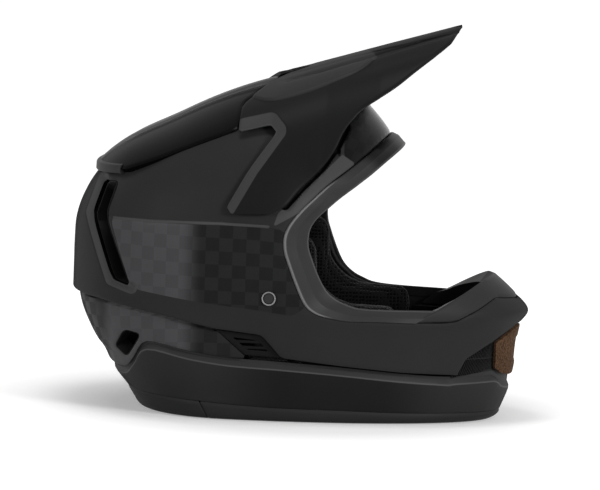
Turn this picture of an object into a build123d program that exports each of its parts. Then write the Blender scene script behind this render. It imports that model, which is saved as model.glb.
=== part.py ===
from build123d import *
import os
from math import atan, cos, pi, radians, sin

# Driving sizes of the whole helmet, in millimetres. +X is forward, +Z is up, the origin is
# on the resting plane below the middle of the helmet's box.
half_length = 176.4
half_width = 120.0
crown_height = 262.5

# Walls and layers, counted inwards from the outer surface
shell_wall = 3.0
neck_wall = 2.6
collar_wall = 3.0
crown_panel_lift = 1.5
foam_inset = 3.4
foam_thickness = 24.0
neck_foam_inset = 3.4
neck_foam_thickness = 16.0
chin_foam_inset = 4.9
chin_foam_thickness = 15.0
liner_thickness = 8.0
seat_gap = 0.3
sliding_gap = 0.05
overrun = 40.0

# Rows of the outer surface from the bottom up: height, rear reach, front reach, half width,
# place of the widest point. Heights are shares of crown_height, reaches of half_length,
# widths of half_width.
upper_shares = (
    (0.114, -0.975, 0.930, 0.858, -0.255),
    (0.229, -0.995, 0.950, 0.896, -0.255),
    (0.316, -1.000, 1.000, 0.922, -0.255),
    (0.370, -1.000, 0.941, 0.946, -0.255),
    (0.476, -0.999, 0.737, 0.985, -0.255),
    (0.617, -0.963, 0.522, 0.992, -0.255),
    (0.754, -0.795, 0.408, 0.883, -0.215),
    (0.827, -0.628, 0.366, 0.767, -0.159),
    (0.888, -0.463, 0.295, 0.608, -0.096),
    (0.937, -0.297, 0.221, 0.433, -0.045),
    (0.973, -0.136, 0.147, 0.250, 0.000),
    (0.995, 0.023, 0.023, 0.000, 0.023),
)
lower_shares = (
    (0.000, -0.689, 0.862, 0.750, -0.255),
    (0.053, -0.737, 0.907, 0.783, -0.255),
    (0.118, -0.816, 0.937, 0.821, -0.255),
    (0.194, -0.887, 0.941, 0.858, -0.255),
    (0.350, -0.978, 0.941, 0.895, -0.255),
)
rear_roundness = 2.2
front_roundness = 2.0
smooth_spans = 16
hidden_spans = 8
visor_spans = 10
port_steps = 20

# Side outlines: x as a share of half_length, z as a share of crown_height
port_edge_shares = (
    (0.366, 0.826), (0.245, 0.759), (0.127, 0.698), (0.027, 0.629), (-0.016, 0.591),
    (-0.037, 0.555), (-0.036, 0.517), (-0.020, 0.482), (0.013, 0.422), (0.055, 0.359),
    (0.095, 0.333), (0.152, 0.319), (0.240, 0.308),
)
port_floor_shares = (
    (0.533, 0.305), (0.648, 0.302), (0.711, 0.306), (0.805, 0.343), (0.870, 0.372),
    (0.936, 0.365), (1.200, 0.280),
)
seam_shares = (
    (-1.200, 0.345), (-0.854, 0.330), (-0.575, 0.304), (-0.328, 0.273), (-0.122, 0.259),
    (-0.032, 0.193), (0.222, 0.174), (0.482, 0.156), (0.695, 0.147), (0.943, 0.129),
    (1.200, 0.110),
)
neck_end_shares = ((-0.338, 0.345), (-0.338, 0.274), (-0.200, 0.196))
collar_top_shares = (
    (-1.200, 0.196), (-0.830, 0.144), (-0.739, 0.128), (-0.629, 0.218), (-0.438, 0.203),
    (-0.260, 0.192), (-0.031, 0.190), (0.222, 0.171), (0.482, 0.153), (0.695, 0.143),
    (0.716, 0.139), (0.880, 0.134), (0.943, 0.126), (1.200, 0.106),
)
base_seam_shares = (
    (-1.200, 0.068), (-0.685, 0.058), (-0.389, 0.051), (-0.080, 0.042), (0.226, 0.039),
    (0.485, 0.033), (0.739, 0.030), (1.200, 0.026),
)
rear_slot_shares = (
    (-0.859, 0.673), (-0.785, 0.681), (-0.830, 0.581), (-0.702, 0.377), (-0.795, 0.394),
    (-0.904, 0.576),
)
low_slot_shares = ((-0.785, 0.187), (-0.736, 0.247), (-0.652, 0.239), (-0.723, 0.156))
side_vent_shares = ((-0.330, 0.271), (-0.122, 0.258), (-0.032, 0.193), (-0.194, 0.198))
crown_edge_shares = (
    (-0.980, 0.689), (-0.771, 0.703), (-0.609, 0.755), (-0.435, 0.805), (-0.262, 0.852),
    (-0.258, 0.919), (-0.128, 0.972), (-0.128, 1.100), (-0.980, 1.100),
)
lip_shares = ((-0.936, 0.687), (-0.936, 0.693), (-0.811, 0.753), (-0.760, 0.709), (-0.828, 0.688))
chin_vent_shares = (
    (0.725, 0.100), (0.725, 0.154), (0.757, 0.196), (0.866, 0.243), (0.965, 0.286),
    (1.200, 0.290), (1.200, 0.100),
)
chin_mesh_shares = ((0.716, 0.146), (0.748, 0.204), (0.866, 0.252), (0.880, 0.150))
mesh_band_shares = (
    (0.716, 0.143), (0.748, 0.204), (0.866, 0.252), (0.965, 0.296), (1.100, 0.296), (1.100, 0.132),
)
vent_frame_shares = (
    (0.876, 0.152), (0.877, 0.238), (0.965, 0.280), (1.100, 0.284), (1.100, 0.131),
    (0.943, 0.131),
)
chin_cap_shares = (
    (0.578, 0.309), (0.648, 0.305), (0.711, 0.309), (0.805, 0.346), (0.870, 0.375),
    (0.936, 0.368), (1.200, 0.283), (1.200, 0.427), (0.821, 0.427), (0.778, 0.409),
    (0.624, 0.337), (0.578, 0.320),
)

# Stations of the eye port trim from the brow to the chin: outer edge x and z, then lip x and z
trim_shares = (
    (0.366, 0.826, 0.438, 0.801), (0.355, 0.819, 0.430, 0.796), (0.329, 0.805, 0.405, 0.781),
    (0.292, 0.785, 0.368, 0.759), (0.245, 0.759, 0.321, 0.730), (0.184, 0.729, 0.261, 0.697),
    (0.127, 0.698, 0.196, 0.662), (0.074, 0.664, 0.146, 0.633), (0.027, 0.629, 0.108, 0.608),
    (-0.016, 0.591, 0.080, 0.581), (-0.037, 0.555, 0.071, 0.549), (-0.036, 0.517, 0.075, 0.520),
    (-0.020, 0.482, 0.088, 0.491), (0.013, 0.422, 0.116, 0.445), (0.055, 0.359, 0.151, 0.400),
    (0.095, 0.333, 0.193, 0.373), (0.152, 0.319, 0.238, 0.358), (0.240, 0.308, 0.300, 0.346),
    (0.391, 0.3065, 0.414, 0.341), (0.556, 0.304, 0.561, 0.338),
)
trim_depth_share = 0.09
trim_ridge_share = 0.45
trim_edge_gap = 0.5
trim_proud = 0.6
trim_thickness = 3.2


def at_height(rows, z):
    """The row's five shares at a height, straight between two rows."""
    share = min(max(z / crown_height, rows[0][0]), rows[-1][0])
    for low, high in zip(rows, rows[1:]):
        if share <= high[0]:
            part = (share - low[0]) / (high[0] - low[0])
            return [a + (b - a) * part for a, b in zip(low, high)]


def side_y(x, z, rows=upper_shares):
    """Half width of the outer surface at a point of the side view."""
    height, rear, front, width, middle = at_height(rows, z)
    behind = x < middle * half_length
    reach = (middle - rear if behind else front - middle) * half_length
    power = rear_roundness if behind else front_roundness
    share = min(1, abs(x - middle * half_length) / reach)
    return width * half_width * (1 - share**power) ** (1 / power)


def tilt(rows, index, column, size):
    """Slope angle of one column of the rows: 0 on an upright wall, pi / 2 on a flat top."""
    low, high = rows[max(index - 1, 0)], rows[min(index + 1, len(rows) - 1)]
    rise = (high[0] - low[0]) * crown_height
    run = (abs(low[column] - low[4] * (column < 3)) - abs(high[column] - high[4] * (column < 3))) * size
    return atan(run / rise)


def section(rows, z, inset, spans):
    """Half outline at a height of the rows, moved inwards by inset, from the rear to the front."""
    height, rear, front, width, middle = at_height(rows, z)
    index = max(i for i, row in enumerate(rows) if row[0] <= height)
    after = min(index + 1, len(rows) - 1)
    part = (height - rows[index][0]) / (rows[after][0] - rows[index][0]) if after > index else 0
    tilts = [tilt(rows, index, column, size) * (1 - part) + tilt(rows, after, column, size) * part
             for column, size in ((1, half_length), (2, half_length), (3, half_width))]
    drop = inset * (sin(max(tilts[2], 0)) + sin(max(tilts[0], 0))) / 2
    back, fore, side = [(inset - drop * sin(t)) / cos(t) for t in tilts]
    middle = middle * half_length
    back = middle - rear * half_length - back
    fore = front * half_length - middle - fore
    side = width * half_width - side
    points = []
    for step in range(spans + 1):
        along, across = cos(pi * step / spans), sin(pi * step / spans)
        power = rear_roundness if along > 0 else front_roundness
        reach = back if along > 0 else -fore
        points.append(Vector(middle - reach * abs(along) ** (2 / power), side * across ** (2 / power),
                             z - drop))
    points[0] = Vector(middle - back, 0, z - drop)
    points[-1] = Vector(middle + fore, 0, z - drop)
    return points


def mirrored(points):
    return [Vector(p.X, -p.Y, p.Z) for p in points]


def wrapped(rings, apex=None):
    """Solid wrapped in flat facets over a row of closed rings of points, with an apex or a flat end."""
    count = len(rings[0])
    faces = [Face(Wire.make_polygon(rings[0], close=True))]
    for low, high in zip(rings, rings[1:]):
        for i in range(count):
            j = (i + 1) % count
            pairs = ((low[i], low[j], high[j]), (low[i], high[j], high[i]))
            if i >= count // 2:
                pairs = ((low[i], low[j], high[i]), (low[j], high[j], high[i]))
            faces += [Face(Wire.make_polygon(corners, close=True)) for corners in pairs]
    if apex is None:
        faces.append(Face(Wire.make_polygon(rings[-1], close=True)))
    else:
        last = rings[-1]
        faces += [Face(Wire.make_polygon([last[i], last[(i + 1) % count], apex], close=True))
                  for i in range(count)]
    return Solid(Shell(faces))


def skin(rows, inset=0.0, spans=smooth_spans):
    """Solid with the outer surface moved inwards by inset."""
    closed = rows[-1][3] == 0
    rings = []
    for row in rows[:-1] if closed else rows:
        half = section(rows, row[0] * crown_height, inset, spans)
        rings.append(half + mirrored(half)[-2:0:-1])
    apex = Vector(rows[-1][1] * half_length, 0, rows[-1][0] * crown_height - inset) if closed else None
    return wrapped(rings, apex)


def layer(rows, outer, inner, spans=smooth_spans):
    """The wall between two depths below the outer surface."""
    return skin(rows, outer, spans) - skin(rows, inner, spans)


def sleeve(rows, levels, spans):
    """Solid between heights whose side is the outer surface moved inwards by each level's inset."""
    rings = []
    for z, inset in levels:
        half = section(rows, z, inset, spans)
        rings.append(half + mirrored(half)[-2:0:-1])
    return wrapped(rings)


def side_points(shares):
    return [Vector(x * half_length, 0, z * crown_height) for x, z in shares]


def across(face, low=-2 * half_width, high=2 * half_width):
    """A side outline pushed through the helmet from y = low to y = high."""
    return Solid.extrude(face.moved(Location((0, low, 0))), Vector(0, high - low, 0))


def outline(shares, grow=0.0):
    """Flat face in the side view, grown or shrunk evenly by grow."""
    face = Face(Wire.make_polygon(side_points(shares), close=True))
    if grow:
        face = Face(face.outer_wire().offset_2d(grow, kind=Kind.INTERSECTION))
    return face


def below(shares, shift=0.0):
    """Everything under a line of the side view, which runs from the rear to the front."""
    line = [p + Vector(0, 0, shift) for p in side_points(shares)]
    floor = -overrun
    corners = [Vector(line[-1].X, 0, floor), Vector(line[0].X, 0, floor)]
    return across(Face(Wire.make_polygon(line + corners, close=True)))


def port_cutter(grow=0.0):
    """The eye port in the side view: a smooth rear edge and a floor that climbs to the chin."""
    edge = side_points(port_edge_shares)
    floor = side_points(port_floor_shares)
    curve = Edge.make_spline(edge, tangents=[edge[1] - edge[0], edge[-1] - edge[-2]])
    corners = [edge[-1]] + floor + [Vector(floor[-1].X, 0, edge[0].Z), edge[0]]
    if grow:
        points = [curve @ (step / port_steps) for step in range(port_steps)] + corners[:-1]
        wire = Wire.make_polygon(points, close=True).offset_2d(grow, kind=Kind.INTERSECTION)
    else:
        wire = Wire([curve] + [Edge.make_line(a, b) for a, b in zip(corners, corners[1:])])
    return across(Face(wire))


def solids_of(shape):
    return shape.solids() if hasattr(shape, "solids") else ShapeList(shape).solids()


def biggest(shape):
    return max(solids_of(shape), key=lambda s: s.volume)


def main_solids(shape, least=0.02):
    """The shape's solids without the crumbs that a cut leaves."""
    found = solids_of(shape)
    top = max(s.volume for s in found)
    return [s for s in found if s.volume > least * top]


def above(shares, shift=0.0):
    """Everything over a line of the side view, which runs from the rear to the front."""
    line = [p + Vector(0, 0, shift) for p in side_points(shares)]
    roof = 2 * crown_height
    corners = [Vector(line[-1].X, 0, roof), Vector(line[0].X, 0, roof)]
    return across(Face(Wire.make_polygon(line + corners, close=True)))


def block(x0, x1, y0, y1, z0, z1):
    """Box between two corners."""
    return Solid.make_box(x1 - x0, y1 - y0, z1 - z0, Plane((x0, y0, z0)))


def both_sides(shares, clear_share, grow=0.0):
    """A side outline pushed outwards on each side, leaving the middle of the helmet uncut."""
    face = outline(shares, grow)
    inner = clear_share * half_width
    return [across(face, inner, 2 * half_width), across(face, -2 * half_width, -inner)]


def rod(centre, direction, radius, length):
    """Round bar that starts at centre and runs along direction."""
    return Solid.make_cylinder(radius, length, Plane(origin=centre, z_dir=direction))


def prism(centre, direction, radius, length, sides=18, flute=1.0):
    """Many-sided bar along direction; every second corner is drawn in by the flute share."""
    plane = Plane(origin=centre, z_dir=direction)
    corners = []
    for index in range(sides):
        reach = radius * (flute if index % 2 else 1)
        angle = 2 * pi * index / sides
        corners.append(plane.origin + (plane.x_dir * cos(angle) + plane.y_dir * sin(angle)) * reach)
    return Solid.extrude(Face(Wire.make_polygon(corners, close=True)), plane.z_dir * length)


def halves(shape):
    """Left (+Y) and right (-Y) pieces of a mirrored pair, as lists of solids."""
    found = main_solids(shape, 0.05)
    left = [s for s in found if s.center().Y > 0]
    right = [s for s in found if s.center().Y < 0]
    return left, right


def save(name, shape):
    """Write one node, made of one solid or of a list of solids."""
    solids = shape if isinstance(shape, (list, ShapeList)) else main_solids(shape)
    export_step(Compound(children=list(solids)), f"parts/{name}.step")


# Rear slot and front vents
slot_bezel = 2.0
slot_depth = 11.0
slot_middle_share = 0.28
vent_plate = 2.0
louvre_count = 3
louvre_height = 2.4
mesh_inset = 3.3
mesh_thickness = 1.2
mesh_hole = 4.4
mesh_pitch = 6.4
mesh_columns = 4
mesh_rows = 3
frame_proud = 0.6
frame_thickness = 2.8
frame_window_width = 40.0
frame_window_height = 22.0
frame_window_base = 44.0

# Chin cap channel
cap_depth = 12.0
cap_web = 3.0

# Base trim
trim_roll_width = 11.0
trim_split_shares = ((-0.389, 0.080), (-0.389, 0.052), (-0.306, -0.050), (1.300, -0.050), (1.300, 0.080))

# Strap rivets on one line across the helmet
rivet_x = -16.6
rivet_z = 97.4
rivet_cap_radius = 5.6
rivet_cap_sunk = 1.2
rivet_cap_thickness = 2.2
rivet_shank_radius = 2.5
rivet_head_radius = 5.0
rivet_head_thickness = 1.2
strap_inset = 9.4
strap_thickness = 1.6
strap_width = 20.0
band_steps = 12
spacer_radius = 7.0

# Chin strap and its buckle
strap_floor = 27.0
buckle_half = 24.0
buckle_wall = 2.0
buckle_height = 9.0
tongue_thickness = 2.2
tongue_width = 15.0
tongue_length = 40.0
tooth_pitch = 3.0
tooth_count = 8
tooth_height = 1.2
lever_length = 30.0
lever_thickness = 2.4
lever_pin_radius = 1.5
jaw_pad_thickness = 6.0
jaw_pad_width = 32.0
jaw_pad_steps = (6, 10)
strap_bend_shares = (0.27, 0.22)
strap_low_shares = ((0.93, 0.52), (0.68, 0.13), (0.42, 0.00))

# Visor and its pivots
visor_gap = 2.0
visor_wall = 2.4
visor_line_x = -22.5
visor_line_z = 259.9
visor_slope_share = 0.3144
visor_stations = (
    (-0.340, 1.017), (-0.113, 0.960), (0.113, 0.890), (0.340, 0.870), (0.567, 0.800),
    (0.680, 0.730),
)
visor_arch_power = 2.5
visor_floor_share = 0.57
visor_side_shares = (
    (-0.1276, 0.960), (-0.1276, 1.300), (0.660, 1.300), (0.660, 1.153), (0.626, 1.119),
    (0.486, 1.039), (0.401, 0.990), (0.275, 0.931), (0.225, 0.895), (0.192, 0.858),
    (0.158, 0.805), (0.101, 0.750), (0.022, 0.694), (-0.038, 0.645), (-0.101, 0.621),
    (-0.268, 0.619), (-0.287, 0.639), (-0.201, 0.747), (-0.094, 0.856), (-0.124, 0.877),
    (-0.262, 0.853), (-0.257, 0.920),
)
visor_nose_start = 30.0
visor_nose_half_width = 100.0
visor_nose_power = 2.6
visor_nose_steps = 12
pivot_x = -27.5
pivot_z = 176.0
stud_radius = 4.0
stud_length = 11.0
stud_flange_radius = 6.5
socket_radius = 7.0
socket_depth = 12.0
screw_angle = 33.0
screw_radius = 2.5
screw_head_radius = 6.5
screw_head_height = 3.2
screw_head_sides = 24
screw_flute = 0.88
tongue_arc_radius = 98.5
arc_tongue_thickness = 2.4
arc_tongue_half_width = 12.0
arc_tongue_start = 29.0
arc_tongue_end = 47.5
rib_end = 38.0
visor_travel = 10.0
slot_spare = 1.3
insert_radius = 8.0

# Foam, liner and pads
foam_floor_shares = ((-1.200, 0.352), (1.200, 0.352))
liner_floor_shares = ((-1.200, 0.420), (1.200, 0.420))
brow_shares = ((0.040, 0.560), (0.040, 0.800), (0.080, 0.890), (0.600, 0.890), (0.600, 0.560))
brow_extra = 2.5
liner_cut = 1.5
channel_width = 9.0
channel_depth = 4.0
channel_shares = (-0.30, 0.0, 0.30)
cheek_shares = (
    (-0.215, 0.205), (-0.249, 0.290), (-0.181, 0.381), (-0.085, 0.488), (-0.010, 0.562),
    (0.045, 0.566), (0.079, 0.518), (0.113, 0.434), (0.193, 0.377), (0.351, 0.345),
    (0.462, 0.325), (0.470, 0.262), (0.329, 0.214), (0.040, 0.196),
)
cheek_foam_inset = 12.6
cheek_face_y = 58.0
cheek_back_y = 80.0
pad_levels = ((0.00, 0.72), (0.14, 0.90), (0.55, 1.00), (0.86, 0.97), (1.00, 0.90))
post_radius = 5.0
post_sides = 12
snap_radius = 2.6
snap_length = 4.0
post_places = ((0.040, 0.240), (0.200, 0.262), (-0.070, 0.455))
chin_foam_shares = (
    (0.500, 0.180), (0.500, 0.292), (0.680, 0.294), (0.795, 0.327), (0.865, 0.357),
    (0.975, 0.335), (0.960, 0.296), (0.860, 0.260), (0.742, 0.214), (0.715, 0.180),
)
neck_foam_floor = 17.0
neck_foam_top = 87.0
neck_foam_front_share = -0.34
roll_half_height = 16.0
roll_depth = 13.0
roll_height = 36.0
roll_levels = (-1.0, -0.92, -0.7, -0.36, 0.0, 0.36, 0.7, 0.92, 1.0)
roll_edge_share = 0.15
pad_points = 24
post_back_gap = 0.3


def make_outer_shell():
    """Crown, cheeks and chin bar in one wall, cut by the port, the slots and the vents."""
    shell = layer(upper_shares, 0, shell_wall)
    shell = shell - port_cutter() - below(seam_shares)
    shell = shell - across(outline(chin_vent_shares))
    for cutter in both_sides(rear_slot_shares, slot_middle_share):
        shell = shell - cutter
    for sign in (1, -1):
        pivot = Vector(pivot_x, 0, pivot_z)
        shell = shell - prism(pivot, (0, sign, 0), socket_radius + seat_gap, half_width)
        rivet = Vector(rivet_x, 0, rivet_z)
        shell = shell - prism(rivet, (0, sign, 0), rivet_shank_radius + sliding_gap, 2 * half_width)
        seat = side_y(rivet_x, rivet_z) - rivet_cap_sunk
        shell = shell - prism(Vector(rivet_x, sign * seat, rivet_z), (0, sign, 0),
                              rivet_cap_radius + seat_gap / 2, half_width)
    shell = shell - prism(Vector(pivot_x, 0, pivot_z), screw_axis(), insert_radius - cap_web + seat_gap,
                        tongue_arc_radius)
    return biggest(shell)


def screw_axis():
    """Direction from the visor pivots to the thumb screw."""
    return Vector(sin(radians(screw_angle)), 0, cos(radians(screw_angle)))


def make_crown_panel():
    """Raised gloss cover with a short lip that overhangs the rear of the shell."""
    panel = layer(upper_shares, -crown_panel_lift, -seat_gap / 10)
    panel = panel & across(outline(crown_edge_shares))
    lip = layer(upper_shares, -4 * crown_panel_lift, -seat_gap / 10) & across(outline(lip_shares))
    return biggest(panel + lip)


def make_neck_panel():
    neck = layer(lower_shares, 0, neck_wall)
    neck = neck - below(collar_top_shares, seat_gap / 2)
    behind = [(-1.2, neck_end_shares[0][1]), (-1.2, 0)] + [(neck_end_shares[-1][0], 0)]
    neck = neck & across(outline(tuple(behind) + neck_end_shares[::-1]))
    for cutter in both_sides(low_slot_shares, slot_middle_share):
        neck = neck - cutter
    return biggest(neck)


def make_collar():
    collar = layer(lower_shares, 0, collar_wall)
    collar = collar & below(collar_top_shares, -seat_gap / 2)
    return biggest(collar - below(base_seam_shares, seat_gap))


def make_base_trims():
    """Rounded roll under the collar, in a front and a rear length."""
    ring = layer(lower_shares, 0, trim_roll_width) & below(base_seam_shares)
    front = across(outline(trim_split_shares, -seat_gap / 2))
    behind = across(outline(trim_split_shares, seat_gap / 2))
    return biggest(ring & front), biggest(ring - behind)


def trim_station(outer_x, outer_z, lip_x, lip_z):
    """Six-sided cross section of the port trim at one station, on the -Y side."""
    x, z = outer_x * half_length, outer_z * crown_height
    y = side_y(x, z)
    if outer_z == port_edge_shares[0][1]:
        y = 0
    edge = Vector(x, -y, z)
    lip = Vector(lip_x * half_length, -y * (1 - trim_depth_share), lip_z * crown_height)
    inward = (lip - edge).normalized()
    length = (lip - edge).length
    row = at_height(upper_shares, z)
    reach = (row[2] - row[4]) * half_length
    out = Vector((x - row[4] * half_length) / reach**2, -y / (row[3] * half_width) ** 2,
                 0.5 * max(outer_z - 0.6, 0) / half_width)
    out = (out - inward * out.dot(inward)).normalized()
    profile = (
        (trim_edge_gap, trim_proud), (length * trim_ridge_share, trim_proud * 2), (length, 0),
        (length, -trim_proud * 2), (length * trim_ridge_share, -trim_thickness),
        (trim_edge_gap * 3, -trim_thickness),
    )
    return [edge + inward * a + out * b for a, b in profile]


def make_port_trim():
    """Two-facet gasket from the middle of the brow to the chin cap, mirrored."""
    right = wrapped([trim_station(*row) for row in trim_shares])
    return biggest((right + right.mirror(Plane.XZ)) & port_cutter(-seat_gap))


def make_chin_cap():
    """Channel on top of the chin bar, open below."""
    region = across(outline(chin_cap_shares))
    cap = layer(upper_shares, 0, cap_depth) & region
    hollow = layer(upper_shares, cap_web, cap_depth - cap_web)
    return biggest(cap - (hollow & region.moved(Location((0, 0, -cap_web)))))


def mesh_holes():
    """Square holes of the chin mesh: rows through each side and through the middle."""
    low = side_points(chin_mesh_shares)[0]
    holes = []
    for column in range(mesh_columns):
        for row in range(mesh_rows):
            x = low.X + mesh_hole + column * mesh_pitch
            z = low.Z + mesh_hole + row * mesh_pitch
            if row * mesh_columns > (column + 1) * mesh_rows:
                continue
            holes.append(block(x, x + mesh_hole, -half_width, half_width, z, z + mesh_hole))
            y = (column - mesh_columns / 2) * (mesh_hole + mesh_pitch)
            holes.append(block(chin_mesh_shares[2][0] * half_length, half_length, y, y + mesh_hole,
                               z, z + mesh_hole))
    return holes


def make_chin_mesh():
    """Thin holed band behind both chin vents and the middle frame."""
    mesh = layer(upper_shares, mesh_inset, mesh_inset + mesh_thickness)
    mesh = mesh & across(outline(mesh_band_shares))
    return biggest(mesh.cut(*mesh_holes()))


def make_vent_frame():
    """Upright frame in the middle of the chin bar with one window."""
    frame = layer(upper_shares, -frame_proud, frame_thickness - frame_proud)
    frame = frame & across(outline(vent_frame_shares, -seat_gap))
    window = block(0, 2 * half_length, -frame_window_width / 2, frame_window_width / 2,
                   frame_window_base, frame_window_base + frame_window_height)
    return biggest(frame - window)


def make_slot_inserts(rows, shares):
    """Bezel that lines a slot, one on each side."""
    wall = layer(rows, seat_gap * 2, slot_depth)
    outer = both_sides(shares, slot_middle_share, -seat_gap)
    inner = across(outline(shares, -seat_gap - slot_bezel))
    pieces = []
    for cutter in outer:
        pieces.append([biggest((wall & cutter) - inner)])
    return pieces


def make_side_vents():
    """Recessed louvre plate between the neck panel and the cheek, one on each side."""
    plate = layer(lower_shares, vent_plate / 2, vent_plate * 3 / 2)
    plate = plate & across(outline(side_vent_shares, -seat_gap))
    points = side_points(side_vent_shares)
    step = (points[0].Z - points[3].Z) / (louvre_count + 1)
    for row in range(louvre_count):
        z = points[3].Z + (row + 1) * step - louvre_height / 2
        lean = (points[3].X - points[0].X) * (row + 1) / (louvre_count + 1)
        x0 = points[3].X - lean + 3 * louvre_height
        x1 = points[2].X - lean - 3 * louvre_height
        plate = plate - block(x0, x1, -half_width, half_width, z, z + louvre_height)
    return halves(plate)


def arch(station, shrink):
    """Half-round outline across the visor at one station."""
    x = station[0] * half_length
    half = station[1] * half_width - shrink
    top = visor_line_z + (x - visor_line_x) * visor_slope_share - shrink
    floor = visor_floor_share * crown_height
    points = []
    for step in range(2 * visor_spans + 1):
        angle = pi * step / (2 * visor_spans)
        along = abs(cos(angle)) ** (2 / visor_arch_power) * (1 if cos(angle) > 0 else -1)
        points.append(Vector(x, half * along, floor + (top - floor) * sin(angle) ** (2 / visor_arch_power)))
    return points


def arch_solid(shrink):
    return wrapped([arch(station, shrink) for station in visor_stations])


def lifted(shape, angle):
    """The shape turned about the visor's pivot line; a positive angle lifts its front."""
    return shape.rotate(Axis((pivot_x, 0, pivot_z), (0, -1, 0)), angle)


def nose_cutter():
    """Everything inside the peak's rounded nose, seen from above."""
    length = visor_side_shares[2][0] * half_length - visor_nose_start
    rear = visor_nose_start - 2 * half_length
    edge = []
    for step in range(visor_nose_steps + 1):
        angle = pi * step / visor_nose_steps / 2
        edge.append((visor_nose_start + length * sin(angle) ** (2 / visor_nose_power),
                     visor_nose_half_width * cos(angle)))
    edge[-1] = (visor_nose_start + length, 0)
    points = [(rear, visor_nose_half_width)] + edge
    points += [(x, -y) for x, y in reversed(points[:-1])]
    width = 2 * half_width / visor_nose_half_width
    points = [(x, y * width if x <= visor_nose_start else y) for x, y in points]
    face = Face(Wire.make_polygon([Vector(x, y, 0) for x, y in points], close=True))
    return Solid.extrude(face, Vector(0, 0, 2 * crown_height))


def make_visor():
    """Peak and arms: an arch over the brow that runs into a skin over the temples."""
    outer, inner = arch_solid(0), arch_solid(visor_wall)
    for angle in (0, -visor_travel):
        outer += lifted(skin(upper_shares, -visor_gap - visor_wall), angle)
        inner += lifted(skin(upper_shares, -visor_gap), angle)
    side = across(outline(visor_side_shares))
    visor = (outer & side) - inner
    return biggest(visor & nose_cutter())


def pivot_line(sign, y):
    """Point on the visor pivot line, y millimetres out on one side."""
    return Vector(pivot_x, sign * y, pivot_z)


def arm_face():
    """Half width of the inner face of the visor arm at the pivot."""
    return side_y(pivot_x, pivot_z) + visor_gap


def make_visor_studs():
    """Stepped studs on the inside of the visor arms, left and right."""
    pieces = []
    for sign in (1, -1):
        face = arm_face() - seat_gap / 2
        stud = prism(pivot_line(sign, face - visor_gap), (0, sign, 0), stud_flange_radius, visor_gap)
        stud += rod(pivot_line(sign, face - stud_length), (0, sign, 0), stud_radius, stud_length)
        pieces.append([biggest(stud & skin(upper_shares, -visor_gap + seat_gap / 10))])
    return pieces


def make_visor_sockets():
    """Bushes in the shell that carry the studs, left and right."""
    pieces = []
    for sign in (1, -1):
        face = side_y(pivot_x, pivot_z) - 2 * seat_gap
        socket = prism(pivot_line(sign, face - socket_depth), (0, sign, 0), socket_radius, socket_depth)
        socket -= rod(pivot_line(sign, face - stud_length - seat_gap), (0, sign, 0),
                      stud_radius + sliding_gap, 2 * socket_depth)
        pieces.append([biggest(socket & skin(upper_shares, seat_gap / 2))])
    return pieces


def tongue_plate(low, high, start, end, half):
    """Curved plate about the pivot line, between two radii and two angles from upright."""
    ring = Solid.make_cylinder(high, 2 * half, Plane((pivot_x, half, pivot_z), z_dir=(0, -1, 0)))
    ring -= Solid.make_cylinder(low, 3 * half, Plane((pivot_x, 3 * half / 2, pivot_z), z_dir=(0, -1, 0)))
    reach = 2 * half_length
    corners = [Vector(pivot_x, 0, pivot_z)]
    for angle in (start, (start + end) / 2, end):
        corners.append(Vector(pivot_x + reach * sin(radians(angle)), 0, pivot_z + reach * cos(radians(angle))))
    return ring & across(Face(Wire.make_polygon(corners, close=True)))


def make_visor_tongue():
    """Slotted tongue under the visor with two ribs up to its inner face."""
    low, high = tongue_arc_radius, tongue_arc_radius + arc_tongue_thickness
    plate = tongue_plate(low, high, arc_tongue_start, arc_tongue_end, arc_tongue_half_width)
    slot = screw_radius + 2 * seat_gap
    margin = (slot + slot_spare) / tongue_arc_radius * 180 / pi
    plate -= tongue_plate(low - overrun, high + overrun, screw_angle - margin,
                          screw_angle + visor_travel + margin, slot)
    inner = arch_solid(visor_wall + seat_gap / 10)
    ribs = None
    for y in (-arc_tongue_half_width, arc_tongue_half_width - arc_tongue_thickness):
        rib = tongue_plate(low, low + overrun, arc_tongue_start, rib_end, arc_tongue_half_width)
        rib &= block(-half_length, half_length, y, y + arc_tongue_thickness, 0, 2 * crown_height)
        ribs = rib if ribs is None else ribs + rib
    return biggest(plate + (ribs & inner))


def make_screw_insert():
    """Threaded bush under the thumb screw, through the top of the shell."""
    centre = Vector(pivot_x, 0, pivot_z)
    base = tongue_arc_radius - socket_depth
    stem = insert_radius - cap_web
    insert = prism(centre + screw_axis() * base, screw_axis(), stem, socket_depth - seat_gap)
    flange = prism(centre + screw_axis() * (base - stem), screw_axis(), insert_radius,
                   tongue_arc_radius - seat_gap - base + stem)
    insert += flange - skin(upper_shares, -seat_gap / 3)
    insert -= rod(centre + screw_axis() * base / 2, screw_axis(), screw_radius + sliding_gap,
                  tongue_arc_radius)
    return biggest(insert)


def make_thumb_screw():
    """Fluted head on a plain shank."""
    centre = Vector(pivot_x, 0, pivot_z)
    seat = tongue_arc_radius + arc_tongue_thickness + seat_gap / 2
    screw = rod(centre + screw_axis() * (tongue_arc_radius - socket_depth + seat_gap), screw_axis(),
                screw_radius, seat - tongue_arc_radius + socket_depth)
    head = prism(centre + screw_axis() * seat, screw_axis(), screw_head_radius, screw_head_height,
                 screw_head_sides, screw_flute)
    return biggest(screw + head)


def strap_path():
    """Middle line of the webbing on the +Y side, from the rivet down to the buckle: y, z."""
    top = side_y(rivet_x, rivet_z) - strap_inset
    places = [(top, rivet_z + 0.4 * strap_width), (top, rivet_z), (top, rivet_z - 0.5 * strap_width)]
    for share in strap_bend_shares:
        z = share * crown_height
        places.append((side_y(rivet_x, z) - strap_inset, z))
    low = places[-1]
    drop = low[1] - strap_floor
    places += [(low[0] * inward, strap_floor + drop * up) for inward, up in strap_low_shares]
    places.append((buckle_half + seat_gap / 2, strap_floor))
    return places


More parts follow.
